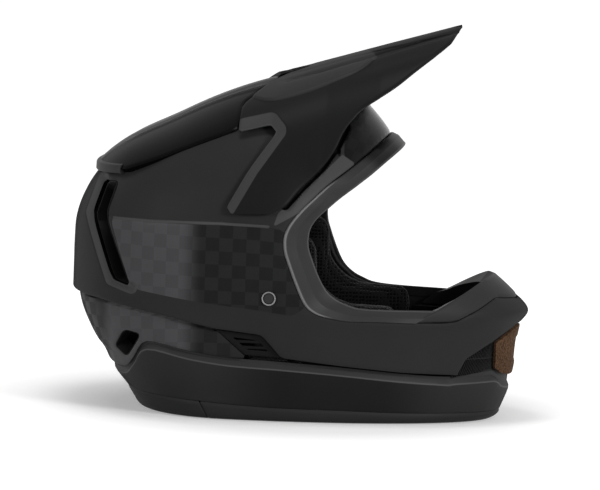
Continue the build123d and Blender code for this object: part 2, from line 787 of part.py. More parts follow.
def band(thickness, width, sign, first=0, last=band_steps):
    """Flat band of even thickness along the webbing's path, between two of its steps."""
    curve = Edge.make_spline([Vector(0, y, z) for y, z in strap_path()])
    sides = [[], []]
    for step in range(first, last + 1):
        place, along = curve @ (step / band_steps), curve % (step / band_steps)
        for row, offset in zip(sides, (thickness / 2, -thickness / 2)):
            row.append(Vector(rivet_x - width / 2, sign * (place.Y - along.Z * offset),
                              place.Z + along.Y * offset))
    face = Face(Wire.make_polygon(sides[0] + sides[1][::-1], close=True))
    return Solid.extrude(face, Vector(width, 0, 0))


def make_strap(sign):
    """Webbing from the rivet to the buckle on one side."""
    web = band(strap_thickness, strap_width, sign)
    return biggest(web - prism(Vector(rivet_x, 0, rivet_z), (0, sign, 0),
                               rivet_shank_radius + sliding_gap, half_width))


def make_rivet(sign):
    """Cap in the shell, shank through the web, and the head behind it."""
    outer = side_y(rivet_x, rivet_z)
    tail = outer - strap_inset - strap_thickness - seat_gap - rivet_head_thickness
    seat = outer - rivet_cap_sunk + seat_gap / 10

    def step(y, radius, length):
        return prism(Vector(rivet_x, sign * y, rivet_z), (0, sign, 0), radius, length)
    rivet = step(seat, rivet_cap_radius, rivet_cap_thickness / 2)
    rivet += step(seat, rivet_cap_radius - 3 * seat_gap, rivet_cap_thickness)
    rivet += step(tail, rivet_shank_radius, seat - tail)
    return biggest(rivet + step(tail, rivet_head_radius, rivet_head_thickness))


def make_spacer(sign):
    """Washer between the shell and the webbing."""
    outer = side_y(rivet_x, rivet_z)
    low = outer - strap_inset + strap_thickness / 2 + 2 * seat_gap
    spacer = prism(Vector(rivet_x, sign * low, rivet_z), (0, sign, 0), spacer_radius, strap_inset)
    spacer = spacer & skin(upper_shares, shell_wall + seat_gap / 3)
    return biggest(spacer - prism(Vector(rivet_x, 0, rivet_z), (0, sign, 0),
                                  rivet_shank_radius + sliding_gap, half_width))


def make_buckle_housing():
    """Channel on the left webbing: floor, two cheeks and the ears for the lever's pin."""
    width = strap_width + 2 * buckle_wall
    x0, x1 = rivet_x - width / 2, rivet_x + width / 2
    base = strap_floor - buckle_wall
    body = block(x0, x1, -buckle_half, buckle_half, base - buckle_height + buckle_wall, base + buckle_wall)
    body -= block(x0 + buckle_wall, x1 - buckle_wall, -overrun, buckle_half - buckle_wall * 2,
                  -overrun, base)
    body -= rod(Vector(x0 - overrun, lever_pin_y(), lever_pin_z()), (1, 0, 0),
                lever_pin_radius + sliding_gap, 3 * overrun)
    return biggest(body)


def lever_pin_y():
    return buckle_half - 4 * buckle_wall


def lever_pin_z():
    return strap_floor - buckle_height + buckle_wall / 2 + lever_pin_radius


def make_ratchet_tongue():
    """Toothed blade on the right webbing."""
    top = strap_floor - buckle_wall - seat_gap
    end = buckle_half - 6 * buckle_wall
    x0, x1 = rivet_x - tongue_width / 2, rivet_x + tongue_width / 2
    blade = block(x0, x1, end - tongue_length, end, top - tongue_thickness, top)
    for index in range(tooth_count):
        y = end - tooth_pitch * (index + 2)
        tooth = [Vector(x0, y, top - tongue_thickness), Vector(x0, y + tooth_pitch * 0.8, top - tongue_thickness),
                 Vector(x0, y, top - tongue_thickness - tooth_height)]
        blade += Solid.extrude(Face(Wire.make_polygon(tooth, close=True)), Vector(tongue_width, 0, 0))
    half = strap_width / 2 + buckle_wall
    lug = block(rivet_x - half, rivet_x + half, -buckle_half - 3 * buckle_wall, -buckle_half - seat_gap,
                top - tongue_thickness, strap_floor + 2 * strap_thickness)
    half = strap_width / 2 + seat_gap
    pocket = block(rivet_x - half, rivet_x + half, -buckle_half - overrun, 0,
                   strap_floor - strap_thickness, strap_floor + strap_thickness)
    return biggest(blade + (lug - pocket))


def make_buckle_lever():
    """Sprung lever under the buckle, with a pawl for the teeth and a finger tab."""
    half = strap_width / 2 - seat_gap
    y, z = lever_pin_y(), lever_pin_z()
    top = z + seat_gap / 3
    lever = block(rivet_x - half, rivet_x + half, y - lever_length, y, top - lever_thickness, top)
    knuckle = lever_pin_radius + lever_thickness / 2
    lever += rod(Vector(rivet_x - half, y, z), (1, 0, 0), knuckle, 2 * half)
    lever += block(rivet_x - half, rivet_x + half, y - lever_length, y - lever_length + lever_thickness,
                   top - 2 * lever_thickness, top)
    root = strap_floor - buckle_wall - seat_gap - tongue_thickness
    face = buckle_half - 6 * buckle_wall - 3 * tooth_pitch - seat_gap
    pawl = [Vector(rivet_x - half, face, top - lever_thickness / 2), Vector(rivet_x - half, face, root - seat_gap),
            Vector(rivet_x - half, face - tooth_pitch * 0.8, root - tooth_height - seat_gap * 1.2),
            Vector(rivet_x - half, face - tooth_pitch * 0.8, top - lever_thickness / 2)]
    lever += Solid.extrude(Face(Wire.make_polygon(pawl, close=True)), Vector(2 * half, 0, 0))
    return biggest(lever - rod(Vector(rivet_x - overrun, y, z), (1, 0, 0),
                               lever_pin_radius + sliding_gap, 3 * overrun))


def make_lever_pin():
    half = strap_width / 2 + buckle_wall
    return rod(Vector(rivet_x - half, lever_pin_y(), lever_pin_z()), (1, 0, 0), lever_pin_radius, 2 * half)


def make_jaw_pad(sign):
    """Padded sleeve round the webbing below the jaw."""
    pad = band(jaw_pad_thickness, jaw_pad_width, sign, *jaw_pad_steps)
    slot = band(strap_thickness + 2 * seat_gap, strap_width + 2 * seat_gap, sign, *jaw_pad_steps)
    return biggest(pad - slot)


def make_crown_foam():
    """Energy foam under the crown, from the brow to the neck, open over the face and the cheeks."""
    foam = layer(upper_shares, foam_inset, foam_inset + foam_thickness, hidden_spans)
    foam = (foam & above(foam_floor_shares)) - port_cutter(liner_cut)
    foam = foam - across(outline(cheek_shares, 2 * seat_gap))
    for cutter in both_sides(rear_slot_shares, slot_middle_share, seat_gap):
        foam = foam - cutter
    for sign in (1, -1):
        depth = side_y(pivot_x, pivot_z) - 3 * seat_gap - socket_depth
        foam = foam - prism(pivot_line(sign, depth), (0, sign, 0), socket_radius + seat_gap, half_width)
    centre = Vector(pivot_x, 0, pivot_z)
    foam = foam - prism(centre + screw_axis() * (tongue_arc_radius - socket_depth - seat_gap),
                        screw_axis(), insert_radius, overrun)
    return biggest(foam)


def channels(inset, x0, x1):
    """Air grooves from front to rear in the inner face of a pad."""
    tool = skin(upper_shares, inset, hidden_spans)
    cuts = []
    for share in channel_shares:
        y = share * half_width
        cuts.append(block(x0, x1, y - channel_width / 2, y + channel_width / 2,
                          0, crown_height) & tool)
    return cuts


def make_comfort_liner():
    """Padded skull liner inside the foam, with grooves for air."""
    outer = foam_inset + foam_thickness + seat_gap
    liner = layer(upper_shares, outer, outer + liner_thickness, hidden_spans)
    liner = (liner & above(liner_floor_shares)) - port_cutter(2 * liner_cut)
    liner = liner - across(outline(cheek_shares, liner_cut)) - across(outline(brow_shares, liner_cut))
    for cut in channels(outer + liner_thickness - channel_depth, -half_length, half_length):
        liner = liner - cut
    return biggest(liner)


def make_brow_pad():
    """Thicker pad across the forehead, in front of the skull liner."""
    outer = foam_inset + foam_thickness + seat_gap
    thickness = liner_thickness + brow_extra
    pad = layer(upper_shares, outer, outer + thickness, hidden_spans)
    pad = (pad & across(outline(brow_shares))) - port_cutter(2 * liner_cut)
    for cut in channels(outer + thickness - channel_depth, 0, half_length):
        pad = pad - cut
    return biggest(pad)


def make_neck_foam():
    foam = layer(lower_shares, neck_foam_inset, neck_foam_inset + neck_foam_thickness, hidden_spans)
    foam = foam & block(-2 * half_length, neck_foam_front_share * half_length, -half_width, half_width,
                        neck_foam_floor, neck_foam_top)
    for cutter in both_sides(low_slot_shares, slot_middle_share, seat_gap):
        foam = foam - cutter
    return biggest(foam)


def make_neck_roll():
    """Rounded cushion round the inside of the neck."""
    outer = neck_foam_inset + neck_foam_thickness + 2 * seat_gap
    flat = [(roll_height + roll_half_height * level, outer) for level in roll_levels]
    full = [(z, outer + roll_depth * (roll_edge_share + (1 - roll_edge_share) * (1 - level**2) ** 0.5))
            for (z, inset), level in zip(flat, roll_levels)]
    roll = sleeve(lower_shares, flat, hidden_spans) - sleeve(lower_shares, full, hidden_spans)
    front = neck_foam_front_share * half_length
    return biggest(roll & block(-2 * half_length, front, -half_width, half_width, 0, crown_height))


def make_chin_foam():
    foam = layer(upper_shares, chin_foam_inset, chin_foam_inset + chin_foam_thickness, hidden_spans)
    return biggest(foam & across(outline(chin_foam_shares)))


def snap_end(x, z):
    """Half width where the tip of a cheek snap ends."""
    return side_y(x, z) - cheek_foam_inset - snap_length


def make_cheek_foams():
    """Foam blocks behind the cheek pads, left and right."""
    pieces = []
    body = skin(upper_shares, cheek_foam_inset, hidden_spans) - port_cutter(liner_cut)
    for sign in (1, -1):
        near, far = sign * (cheek_back_y + seat_gap), sign * 2 * half_width
        foam = body & across(outline(cheek_shares), min(near, far), max(near, far))
        for share_x, share_z in post_places:
            x, z = share_x * half_length, share_z * crown_height
            foam = foam - prism(Vector(x, sign * (snap_end(x, z) - seat_gap), z), (0, sign, 0),
                                snap_radius + sliding_gap, half_width, post_sides)
        pieces.append([biggest(foam)])
    return pieces


def make_cheek_posts():
    """Snap posts on the inside of the shell, three for each cheek foam."""
    posts = []
    wall = skin(upper_shares, shell_wall + seat_gap / 10)
    back = skin(upper_shares, cheek_foam_inset - post_back_gap, hidden_spans)
    for sign in (1, -1):
        for share_x, share_z in post_places:
            x, z = share_x * half_length, share_z * crown_height
            start = Vector(x, sign * snap_end(x, z), z)
            post = prism(start, (0, sign, 0), post_radius, overrun, post_sides) - back
            snap = prism(start, (0, sign, 0), snap_radius, overrun, post_sides)
            posts.append(biggest((post + snap) & wall))
    return posts


def make_cheek_pads():
    """Crowned cushions on the cheek foams, left and right."""
    corners = side_points(cheek_shares)
    loop = Edge.make_spline(corners, periodic=True)
    points = [loop @ (index / pad_points) for index in range(pad_points)]
    middle = sum(points, Vector()) / pad_points
    inside = skin(upper_shares, cheek_foam_inset + seat_gap, hidden_spans)
    pieces = []
    for sign in (1, -1):
        rings = []
        for level, size in pad_levels:
            y = sign * (cheek_face_y + (cheek_back_y - cheek_face_y) * level)
            rings.append([Vector(middle.X + (p.X - middle.X) * size, y, middle.Z + (p.Z - middle.Z) * size)
                          for p in points])
        pieces.append([biggest(wrapped(rings) & inside)])
    return pieces


def save_all():
    os.makedirs("parts", exist_ok=True)
    save("outer_shell", make_outer_shell())
    save("crown_panel", make_crown_panel())
    save("neck_panel", make_neck_panel())
    save("lower_collar", make_collar())
    front, rear = make_base_trims()
    save("base_trim_front", front)
    save("base_trim_rear", rear)
    save("eye_port_trim", make_port_trim())
    save("chin_cap", make_chin_cap())
    save("chin_mesh", make_chin_mesh())
    save("chin_vent_frame", make_vent_frame())
    pairs = (
        ("rear_vent_insert", make_slot_inserts(upper_shares, rear_slot_shares)),
        ("lower_rear_vent", make_slot_inserts(lower_shares, low_slot_shares)),
        ("side_vent", make_side_vents()),
        ("visor_stud", make_visor_studs()),
        ("visor_socket", make_visor_sockets()),
        ("cheek_foam", make_cheek_foams()),
        ("cheek_pad", make_cheek_pads()),
        ("chin_strap", [make_strap(1), make_strap(-1)]),
        ("strap_rivet", [make_rivet(1), make_rivet(-1)]),
        ("strap_spacer", [make_spacer(1), make_spacer(-1)]),
        ("jaw_pad", [make_jaw_pad(1), make_jaw_pad(-1)]),
    )
    for name, (left, right) in pairs:
        save(name + "_left", left)
        save(name + "_right", right)
    save("visor", make_visor())
    save("visor_tongue", make_visor_tongue())
    save("visor_screw", make_thumb_screw())
    save("visor_screw_insert", make_screw_insert())
    save("buckle_housing", make_buckle_housing())
    save("ratchet_tongue", make_ratchet_tongue())
    save("buckle_lever", make_buckle_lever())
    save("lever_pin", make_lever_pin())
    save("crown_foam", make_crown_foam())
    save("comfort_liner", make_comfort_liner())
    save("brow_pad", make_brow_pad())
    save("neck_foam", make_neck_foam())
    save("neck_roll", make_neck_roll())
    save("chin_foam", make_chin_foam())
    save("cheek_posts", make_cheek_posts())


save_all()
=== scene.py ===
import math

import bmesh
import bpy
import numpy as np
from mathutils import Matrix, Vector


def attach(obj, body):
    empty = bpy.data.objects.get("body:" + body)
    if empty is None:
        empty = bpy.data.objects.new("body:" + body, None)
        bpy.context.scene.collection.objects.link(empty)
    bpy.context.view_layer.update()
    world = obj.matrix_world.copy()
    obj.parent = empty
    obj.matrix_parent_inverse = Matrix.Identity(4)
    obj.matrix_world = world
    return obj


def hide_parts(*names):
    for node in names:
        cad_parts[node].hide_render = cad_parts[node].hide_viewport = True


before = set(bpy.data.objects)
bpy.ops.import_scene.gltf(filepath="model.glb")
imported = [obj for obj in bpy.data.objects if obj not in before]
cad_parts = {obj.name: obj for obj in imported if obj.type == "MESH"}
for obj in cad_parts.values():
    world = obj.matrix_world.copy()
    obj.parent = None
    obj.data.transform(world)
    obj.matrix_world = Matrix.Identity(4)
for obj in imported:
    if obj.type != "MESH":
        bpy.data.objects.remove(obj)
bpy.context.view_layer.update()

bl_info = {
    "name": "Downhill full face helmet",
    "version": (1, 0, 0),
    "blender": (4, 2, 0),
    "location": "3D View > Sidebar > Helmet",
    "description": "Dresses the packed helmet with smooth shells, padding and procedural finishes",
    "category": "Object",
}

# All tables are in millimetres; +X is forward, +Z is up.
MM = 0.001
FLIP = np.array((1, -1, 1))
SIDES = (("left", 1), ("right", -1))

# Rows of the outer surface from the bottom up: height, rear x, front x, half width, widest x
UPPER_ROWS = np.array((
    (30, -172, 164, 103, -45), (42, -174, 166.5, 105, -45), (60, -175.5, 168, 107.5, -45),
    (74, -176, 170.5, 109.5, -45), (85, -176.4, 176.4, 111, -45), (97, -176.4, 166, 113.5, -45),
    (110, -176.4, 151, 116, -45), (125, -176.4, 130, 118.5, -45), (144, -175.4, 108, 120, -45),
    (162, -169.8, 92, 119, -45), (180, -159.2, 80, 114.5, -44), (198, -140.2, 72, 106, -38),
    (217, -110.8, 64.5, 92, -28), (233, -81.6, 52, 73, -17), (246, -52.4, 39, 52, -8),
    (255.5, -24, 26, 30, 0), (261.1, 4, 4, 0, 4)), float)
CROWN_TURN = np.array((255.5, 26, -24, -30, 0), float)
LOWER_ROWS = np.array((
    (0, -121.5, 152, 90, -45), (5, -124, 156, 91.5, -45), (14, -130, 160, 94, -45),
    (22, -137, 163, 96, -45), (31, -144, 165.3, 98.5, -45), (43.5, -150.5, 166, 101.5, -45),
    (51, -156.5, 166, 103, -45), (62.5, -163, 166, 104.5, -45), (76, -168.8, 166, 106, -45),
    (92, -172.6, 166, 107.4, -45)), float)
REAR_POWER = 2.2
FRONT_POWER = 2.0
VISOR_ROWS = np.array(((-60, 122), (-20, 115.2), (20, 106.8), (60, 104.4), (100, 96), (120, 87.6)), float)
VISOR_FLOOR = 149.6
ARCH_POWER = 2.5

# Side outlines, x and z
PORT_EDGE = ((64.6, 216.7), (43.2, 199.3), (22.4, 183.1), (4.7, 165.2), (-2.8, 155.2), (-6.6, 145.8),
             (-6.4, 135.7), (-3.6, 126.4), (2.3, 110.7), (9.7, 94.3), (16.8, 87.4), (26.9, 83.7),
             (42.3, 80.9))
PORT_FLOOR = ((94, 80), (114.3, 79.4), (125.4, 80.4), (142, 90), (153.5, 97.7), (165.1, 95.8),
              (190, 88), (220, 88), (220, 216.7))
SEAM = ((-190, 89.5), (-150.7, 86.6), (-101.5, 79.8), (-57.9, 71.6), (-21.5, 68), (-5.6, 50.6),
        (39.2, 45.6), (85, 41), (122.6, 38.6), (166.4, 33.9), (190, 31))
NECK_END = ((-57.9, 71.6), (-34.3, 51.4))
COLLAR_TOP = ((-190, 52), (-150, 36), (-130.4, 33.5), (-122, 43), (-111, 57.2), (-77.3, 52.6),
              (-45.9, 49.2), (-5.5, 47.4), (39.2, 44.4), (85, 39.9), (118, 37.4), (126, 38.6),
              (150, 42), (156, 41.4), (163, 35.8), (190, 30))
BASE_SEAM = ((-190, 17), (-120.8, 15.3), (-68.7, 13.5), (-14.1, 10.9), (39.8, 10.2), (85.5, 8.7),
             (130.4, 7.9), (190, 7))
REAR_SLOT = ((-151.5, 176.7), (-138.5, 178.7), (-146.4, 152.4), (-123.8, 99), (-140.3, 103.3),
             (-159.4, 151.3))
LOW_SLOT = ((-138.5, 49.2), (-129.9, 64.9), (-115.1, 62.7), (-127.6, 41))
SIDE_VENT = ((-58.2, 71.2), (-21.6, 68.1), (-5.6, 50.5), (-34.3, 51.8))
CROWN_EDGE = ((-175, 183), (-160, 186.5), (-133, 188.4), (-107.5, 198.3), (-76.7, 211.4),
              (-46.8, 223.7), (-46, 241.2), (-23, 257.8), (-23, 290), (-175, 290))
CHIN_VENT = ((127.9, 26.5), (127.9, 40.5), (133.5, 51.4), (152.8, 63.7), (170.2, 75.2), (190, 76),
             (190, 26.5))
CHIN_MESH = ((122, 30), (122, 42), (130, 54), (150, 66.5), (172, 79), (190, 79), (190, 30))
VENT_FRAME = ((154.6, 36), (154.8, 62.6), (169.8, 73.2), (190, 74), (190, 33), (164, 33))
CHIN_CAP = ((91.6, 80.2), (125.4, 81.0), (142, 90.6), (153.5, 98.3), (165.1, 96.4), (190, 88.6),
            (190, 112), (144.8, 112.2), (137.2, 107.4), (108.4, 89.3))
# Outline of a recess at the brow, sunk and painted near black as painted shadow
BROW_SHADOW_RECESS = ((29.1, 220.3), (33.3, 205.7), (25.8, 207.4))
WEAVE_ZONE = ((-142.5, 150.4), (-133, 151), (-52.9, 153.0), (-6, 152), (2, 118), (12, 92), (2, 84),
              (-33, 88.6), (-64, 91), (-124, 98.4))
FOREHEAD_ZONE = ((33.5, 226), (50, 244), (70, 222), (43, 197), (34, 205))
# Outline of the painted reflection on the temple, beside the visor arm
TEMPLE_REFLECTION_ZONE = ((33.1, 207), (43.5, 199.6), (22.6, 183.4), (3.6, 163.5), (-15.4, 152.5), (-12, 163.5),
                (9, 183))
CREASE = ((-142, 150.6), (-120, 151.6), (-54, 153.8), (-16, 152.5))
TRIM_SPLIT = ((-68.7, 30), (-68.7, 13.6), (-53.9, -14), (230, -14), (230, 30))
VISOR_SIDE = ((-22.5, 259.9), (60, 286), (116.5, 303.6), (110.5, 293.7), (85.7, 272.7), (70.7, 259.9),
              (48.5, 244.4), (39.7, 234.9), (33.8, 225.2), (27.9, 211.3), (17.9, 196.9), (3.9, 182.1),
              (-6.7, 169.2), (-17.9, 162.9), (-47.2, 162.5), (-50.6, 167.7), (-35.4, 196.1),
              (-16.5, 224.7), (-21.8, 230.1), (-46.2, 224), (-45.4, 241.4))
VISOR_CHAMFER = ((-50.6, 167.7), (-35.4, 196.1), (-16.5, 224.7), (-21.8, 230.1), (-46.2, 224))
VISOR_LEAF = ((-41.8, 245.6), (-30.5, 255), (-8, 268), (12, 276), (58, 284), (43.6, 269.6),
              (20, 258.5), (-0.8, 250.2), (-24, 243.6))
ARM_FRONT = ((33.8, 225.2), (27.9, 211.3), (17.9, 196.9), (3.9, 182.1), (-6.7, 169.2))
SLOT_REAR_EDGE = ((-151.5, 176.7), (-159.4, 151.3), (-140.3, 103.3), (-123.8, 99))
PIVOT = (-27.5, 176.0)
STRAP_X = -16.6
RIVET_Z = 97.4
CHEEK_HEART = np.array((4.0, 72.0))
CHEEK = ((-38, 46), (-44, 72), (-32, 100), (-14, 128), (0, 146), (8, 146), (14, 136), (20, 114),
         (34, 99), (62, 92), (84, 88), (84, 62), (58, 48), (0, 42))
BROW = ((7, 147), (7, 210), (14, 233), (106, 233), (106, 147))
CHIN_FOAM = ((88, 47), (88, 76), (120, 77), (140, 85.6), (152.6, 93.6), (172, 88), (169, 77.8),
             (152, 68), (131, 56), (126, 47))

# Stations of the eye port trim from the brow to the chin: outer edge x, z, then lip x, z
TRIM_STATIONS = np.array((
    (64.6, 216.7, 77.2, 210.2), (62.6, 215.1, 75.8, 208.9), (58, 211.4, 71.5, 205),
    (51.5, 206, 65, 199.2), (43.2, 199.3, 56.6, 191.6), (32.5, 191, 46, 183),
    (22.4, 183.1, 34.6, 173.9), (12.2, 173, 25.8, 166.2), (4.7, 165.2, 19, 159.6),
    (-2.8, 155.2, 14.2, 152.5), (-6.6, 145.8, 12.6, 144), (-6.4, 135.7, 13.2, 136.4),
    (-3.6, 126.4, 15.6, 129), (2.3, 110.7, 20.5, 116.7), (9.7, 94.3, 26.6, 105.1),
    (16.8, 87.4, 34, 98), (26.9, 83.7, 42, 94), (42.3, 80.9, 53, 90.8), (67, 80.6, 75, 89.8),
    (93.4, 80.0, 110, 89.2)), float)
TRIM_INSET = 0.09

# Measures that more than one piece needs
SLOT_CLEAR = 33.0
SPINE_Y = 30.0
CHAMFER_DEPTH, CHAMFER_WIDTH = 3.8, 5.5
RELIEF_WIDTH = 7.5
FOAM_INSET = 3.4
NECK_FRONT = -60
FAR = 50.0


def smooth_step(low, high, value):
    """0 below low, 1 above high, and 3u^2 - 2u^3 between them."""
    share = np.clip((value - low) / (high - low), 0, 1)
    return share * share * (3 - 2 * share)


def through_rows(rows, number, before=None, after=None):
    """Cubic through each four neighbouring rows (Catmull-Rom) at a fractional row number."""
    rows = np.asarray(rows, float)
    first = 2 * rows[0] - rows[1] if before is None else before
    last = 2 * rows[-1] - rows[-2] if after is None else after
    padded = np.vstack([first, rows, last])
    number = np.asarray(number, float)
    index = np.clip(np.floor(number).astype(int), 0, len(rows) - 2)
    u = (number - index)[..., None]
    p0, p1, p2, p3 = (padded[index + k] for k in range(4))
    return 0.5 * (2 * p1 + (p2 - p0) * u + (2 * p0 - 5 * p1 + 4 * p2 - p3) * u**2
                  + (3 * p1 - p0 - 3 * p2 + p3) * u**3)


def row_values(rows, number):
    """Height, rear, front, half width and middle at a fractional row number, as five arrays."""
    after = CROWN_TURN if rows is UPPER_ROWS else None
    return np.moveaxis(through_rows(rows, number, after=after), -1, 0)


def row_number(rows, z):
    """The fractional row number at a height, from a fine table."""
    fine = np.linspace(0, len(rows) - 1, 60 * (len(rows) - 1) + 1)
    return np.interp(z, row_values(rows, fine)[0], fine)


def levels(rows, low, high, count):
    """Evenly spaced row numbers between two heights; without a high one they end at the top row."""
    last = len(rows) - 1 if high is None else row_number(rows, high)
    return np.linspace(row_number(rows, low), last, count)


def oval(rows, turn, number):
    """Point of the outer surface: x = middle -+ reach |cos t|^(2/p), y = -width |sin t|^(2/p)."""
    z, rear, front, width, middle = row_values(rows, number)
    along, across = np.cos(turn), np.sin(turn)
    behind = along > 0
    power = np.where(behind, 2 / REAR_POWER, 2 / FRONT_POWER)
    reach = np.where(behind, middle - rear, front - middle)
    x = middle - reach * np.sign(along) * np.abs(along) ** power
    y = -width * np.sign(across) * np.abs(across) ** power
    return np.stack(np.broadcast_arrays(x, y, z), -1)


def outward(rows, turn, number):
    """Unit normal of the outer surface: cross product of its two central differences."""
    a = oval(rows, turn + 1e-3, number) - oval(rows, turn - 1e-3, number)
    b = oval(rows, turn, number + 1e-2) - oval(rows, turn, number - 1e-2)
    normal = np.cross(a, b)
    size = np.linalg.norm(normal, axis=-1, keepdims=True)
    return np.where(size > 1e-9, normal / np.maximum(size, 1e-9), (0.0, 0.0, 1.0))


def on_surface(rows, turn, number, lift=0.0):
    """The outer surface moved along its own normal by lift."""
    return oval(rows, turn, number) + outward(rows, turn, number) * np.asarray(lift)[..., None]


def side_place(rows, x, z):
    """Turn and row number of the right side's surface point at x and z of the side view."""
    number = row_number(rows, z)
    _, rear, front, _, middle = row_values(rows, number)
    behind = x < middle
    reach = np.where(behind, middle - rear, front - middle)
    power = np.where(behind, REAR_POWER, FRONT_POWER)
    share = np.clip(np.abs(x - middle) / reach, 0, 1) ** (power / 2)
    return np.arccos(np.where(behind, share, -share)), number


def half_width_at(x, z, rows=UPPER_ROWS):
    """Half width of the outer surface at x and z of the side view."""
    turn, number = side_place(rows, np.asarray(x, float), np.asarray(z, float))
    return -oval(rows, turn, number)[..., 1]


def rounded_loop(points, rounds=2, cut=0.2):
    """Closed outline whose corners are cut again and again (Chaikin)."""
    loop = np.asarray(points, float)
    for _ in range(rounds):
        ahead = np.roll(loop, -1, 0)
        loop = np.stack([loop + (ahead - loop) * cut, ahead - (ahead - loop) * cut], 1).reshape(-1, 2)
    return loop


def smooth_line(points, per_span=8):
    """Open outline as a smooth curve through its points (Catmull-Rom)."""
    count = len(points) - 1
    return through_rows(np.asarray(points, float), np.linspace(0, count, per_span * count + 1))


def path_distance(path, p, closed=False):
    """Shortest distance in the side view from each point to a path of straight runs."""
    x, z = p[..., 0], p[..., 2]
    path = np.asarray(path, float)
    ends = np.roll(path, -1, 0) if closed else path[1:]
    best = np.full(np.shape(x), 1e9)
    for a, b in zip(path, ends):
        run = b - a
        share = np.clip(((x - a[0]) * run[0] + (z - a[1]) * run[1]) / (run @ run + 1e-12), 0, 1)
        best = np.minimum(best, np.hypot(x - a[0] - run[0] * share, z - a[1] - run[1] * share))
    return best


def region(loop, p):
    """Signed distance in the side view to a closed outline: positive inside, by crossings of a ray."""
    x, z = p[..., 0], p[..., 2]
    loop = np.asarray(loop, float)
    inside = np.zeros(np.shape(x), bool)
    for a, b in zip(loop, np.roll(loop, -1, 0)):
        if a[1] != b[1]:
            crossed = (a[1] > z) != (b[1] > z)
            inside ^= crossed & (x < (b[0] - a[0]) * (z - a[1]) / (b[1] - a[1]) + a[0])
    return path_distance(loop, p, closed=True) * np.where(inside, 1, -1)


def over_line(line, p):
    """Height above a line of the side view."""
    line = np.asarray(line, float)
    return p[..., 2] - np.interp(p[..., 0], line[:, 0], line[:, 1])


def off_circle(centre, radius, p):
    """Distance outside a circle of the side view."""
    return np.hypot(p[..., 0] - centre[0], p[..., 2] - centre[1]) - radius


def puffed(distance, width):
    """Quarter circle that rises from 0 at a seam to 1 at width from it."""
    return np.sqrt(1 - (1 - np.clip(distance / width, 0, 1)) ** 2)


def snapped(field, first, second, hold_ends):
    """Moves the nearer end of every crossed grid edge onto the cut line.

    Returns the moved parameters and the mask of the vertices that now lie on the line.
    """
    best = np.full(field.shape, 0.5)
    moves = [np.zeros_like(field), np.zeros_like(field)]
    for axis, grid in ((0, first), (1, second)):
        low = (slice(None, -1), slice(None)) if axis == 0 else (slice(None), slice(None, -1))
        high = (slice(1, None), slice(None)) if axis == 0 else (slice(None), slice(1, None))
        a, b = field[low], field[high]
        crossed = (a > 0) != (b > 0)
        share = np.where(crossed, a / np.where(crossed, a - b, 1), 9.0)
        back = np.where(crossed, 1 - share, 9.0)
        if axis == 0 and hold_ends[0]:
            back[0] = np.where(crossed[0], np.minimum(back[0], 0.49), 9.0)
            share[0] = 9.0
        if axis == 0 and hold_ends[1]:
            share[-1] = np.where(crossed[-1], np.minimum(share[-1], 0.49), 9.0)
            back[-1] = 9.0
        gap = grid[high] - grid[low]
        for part, amount, sign in ((low, share, 1), (high, back, -1)):
            nearer = amount < best[part]
            best[part] = np.where(nearer, amount, best[part])
            moves[axis][part] = np.where(nearer, sign * amount * gap, moves[axis][part])
            moves[1 - axis][part] = np.where(nearer, 0, moves[1 - axis][part])
    return first + moves[0], second + moves[1], best < 0.5


def cut_sheet(point, field, first, second, hold_ends=(True, True)):
    """Grid sheet point(a, b) kept where field(point) is positive, with its border on the line.

    Returns the parameters of the kept vertices and the faces as quads and triangles. With hold_ends
    the first and the last row stay on their ends, such as the mirror plane.
    """
    a, b = np.meshgrid(first, second, indexing="ij")
    value = field(point(a, b))
    a, b, on = snapped(value, a, b, hold_ends)
    inner, outer = (value > 0) & ~on, (value <= 0) & ~on
    number = np.arange(a.size).reshape(a.shape)
    corners = [slice(None, -1), slice(1, None)]
    ring = [(corners[0], corners[0]), (corners[1], corners[0]), (corners[1], corners[1]),
            (corners[0], corners[1])]
    index = np.stack([number[c] for c in ring], -1)
    out = np.stack([outer[c] for c in ring], -1)
    inn = np.stack([inner[c] for c in ring], -1).sum(-1)
    middle = np.stack([value[c] for c in ring], -1).mean(-1)
    whole = (out.sum(-1) == 0) & ((inn > 0) | (middle > 0))
    quads = index[whole]
    pieces = []
    for corner in range(4):
        lost = (out.sum(-1) == 1) & out[..., corner] & (inn > 0)
        pieces.append(index[lost][:, [(corner + k) % 4 for k in (1, 2, 3)]])
    triangles = np.vstack(pieces)
    used = np.unique(np.concatenate([quads.ravel(), triangles.ravel()]))
    renumber = np.zeros(a.size, int)
    renumber[used] = np.arange(len(used))
    return a.ravel()[used], b.ravel()[used], renumber[quads], renumber[triangles]


def mirror_sheet(points, quads, triangles, extras):
    """The sheet joined to its own reflection across y = 0; points on the plane are shared."""
    count = len(points)
    shared = np.abs(points[:, 1]) < 1e-5
    points = np.where(shared[:, None], points * (1, 0, 1), points)
    number = np.where(shared, np.arange(count), count + np.cumsum(~shared) - 1)
    quads = np.vstack([quads, number[quads][:, ::-1]])
    triangles = np.vstack([triangles, number[triangles][:, ::-1]])
    extras = {key: np.concatenate([v, v[~shared]], 0) for key, v in extras.items()}
    return np.vstack([points, (points * FLIP)[~shared]]), quads, triangles, extras, shared


def rim_quads(quads, triangles, shift):
    """Faces that join the border of a sheet to the same border shift vertices later."""
    edges = [np.stack([quads[:, k], quads[:, (k + 1) % 4]], 1) for k in range(4)]
    edges += [np.stack([triangles[:, k], triangles[:, (k + 1) % 3]], 1) for k in range(3)]
    edges = np.vstack(edges)
    size = edges.max() + 1
    code, back = edges[:, 0] * size + edges[:, 1], edges[:, 1] * size + edges[:, 0]
    border = edges[~np.isin(code, back)]
    return np.stack([border[:, 1], border[:, 0], border[:, 0] + shift, border[:, 1] + shift], 1)


def linked(name, data):
    """New object with its data, linked to the scene."""
    made = bpy.data.objects.new(name, data)
    bpy.context.scene.collection.objects.link(made)
    return made


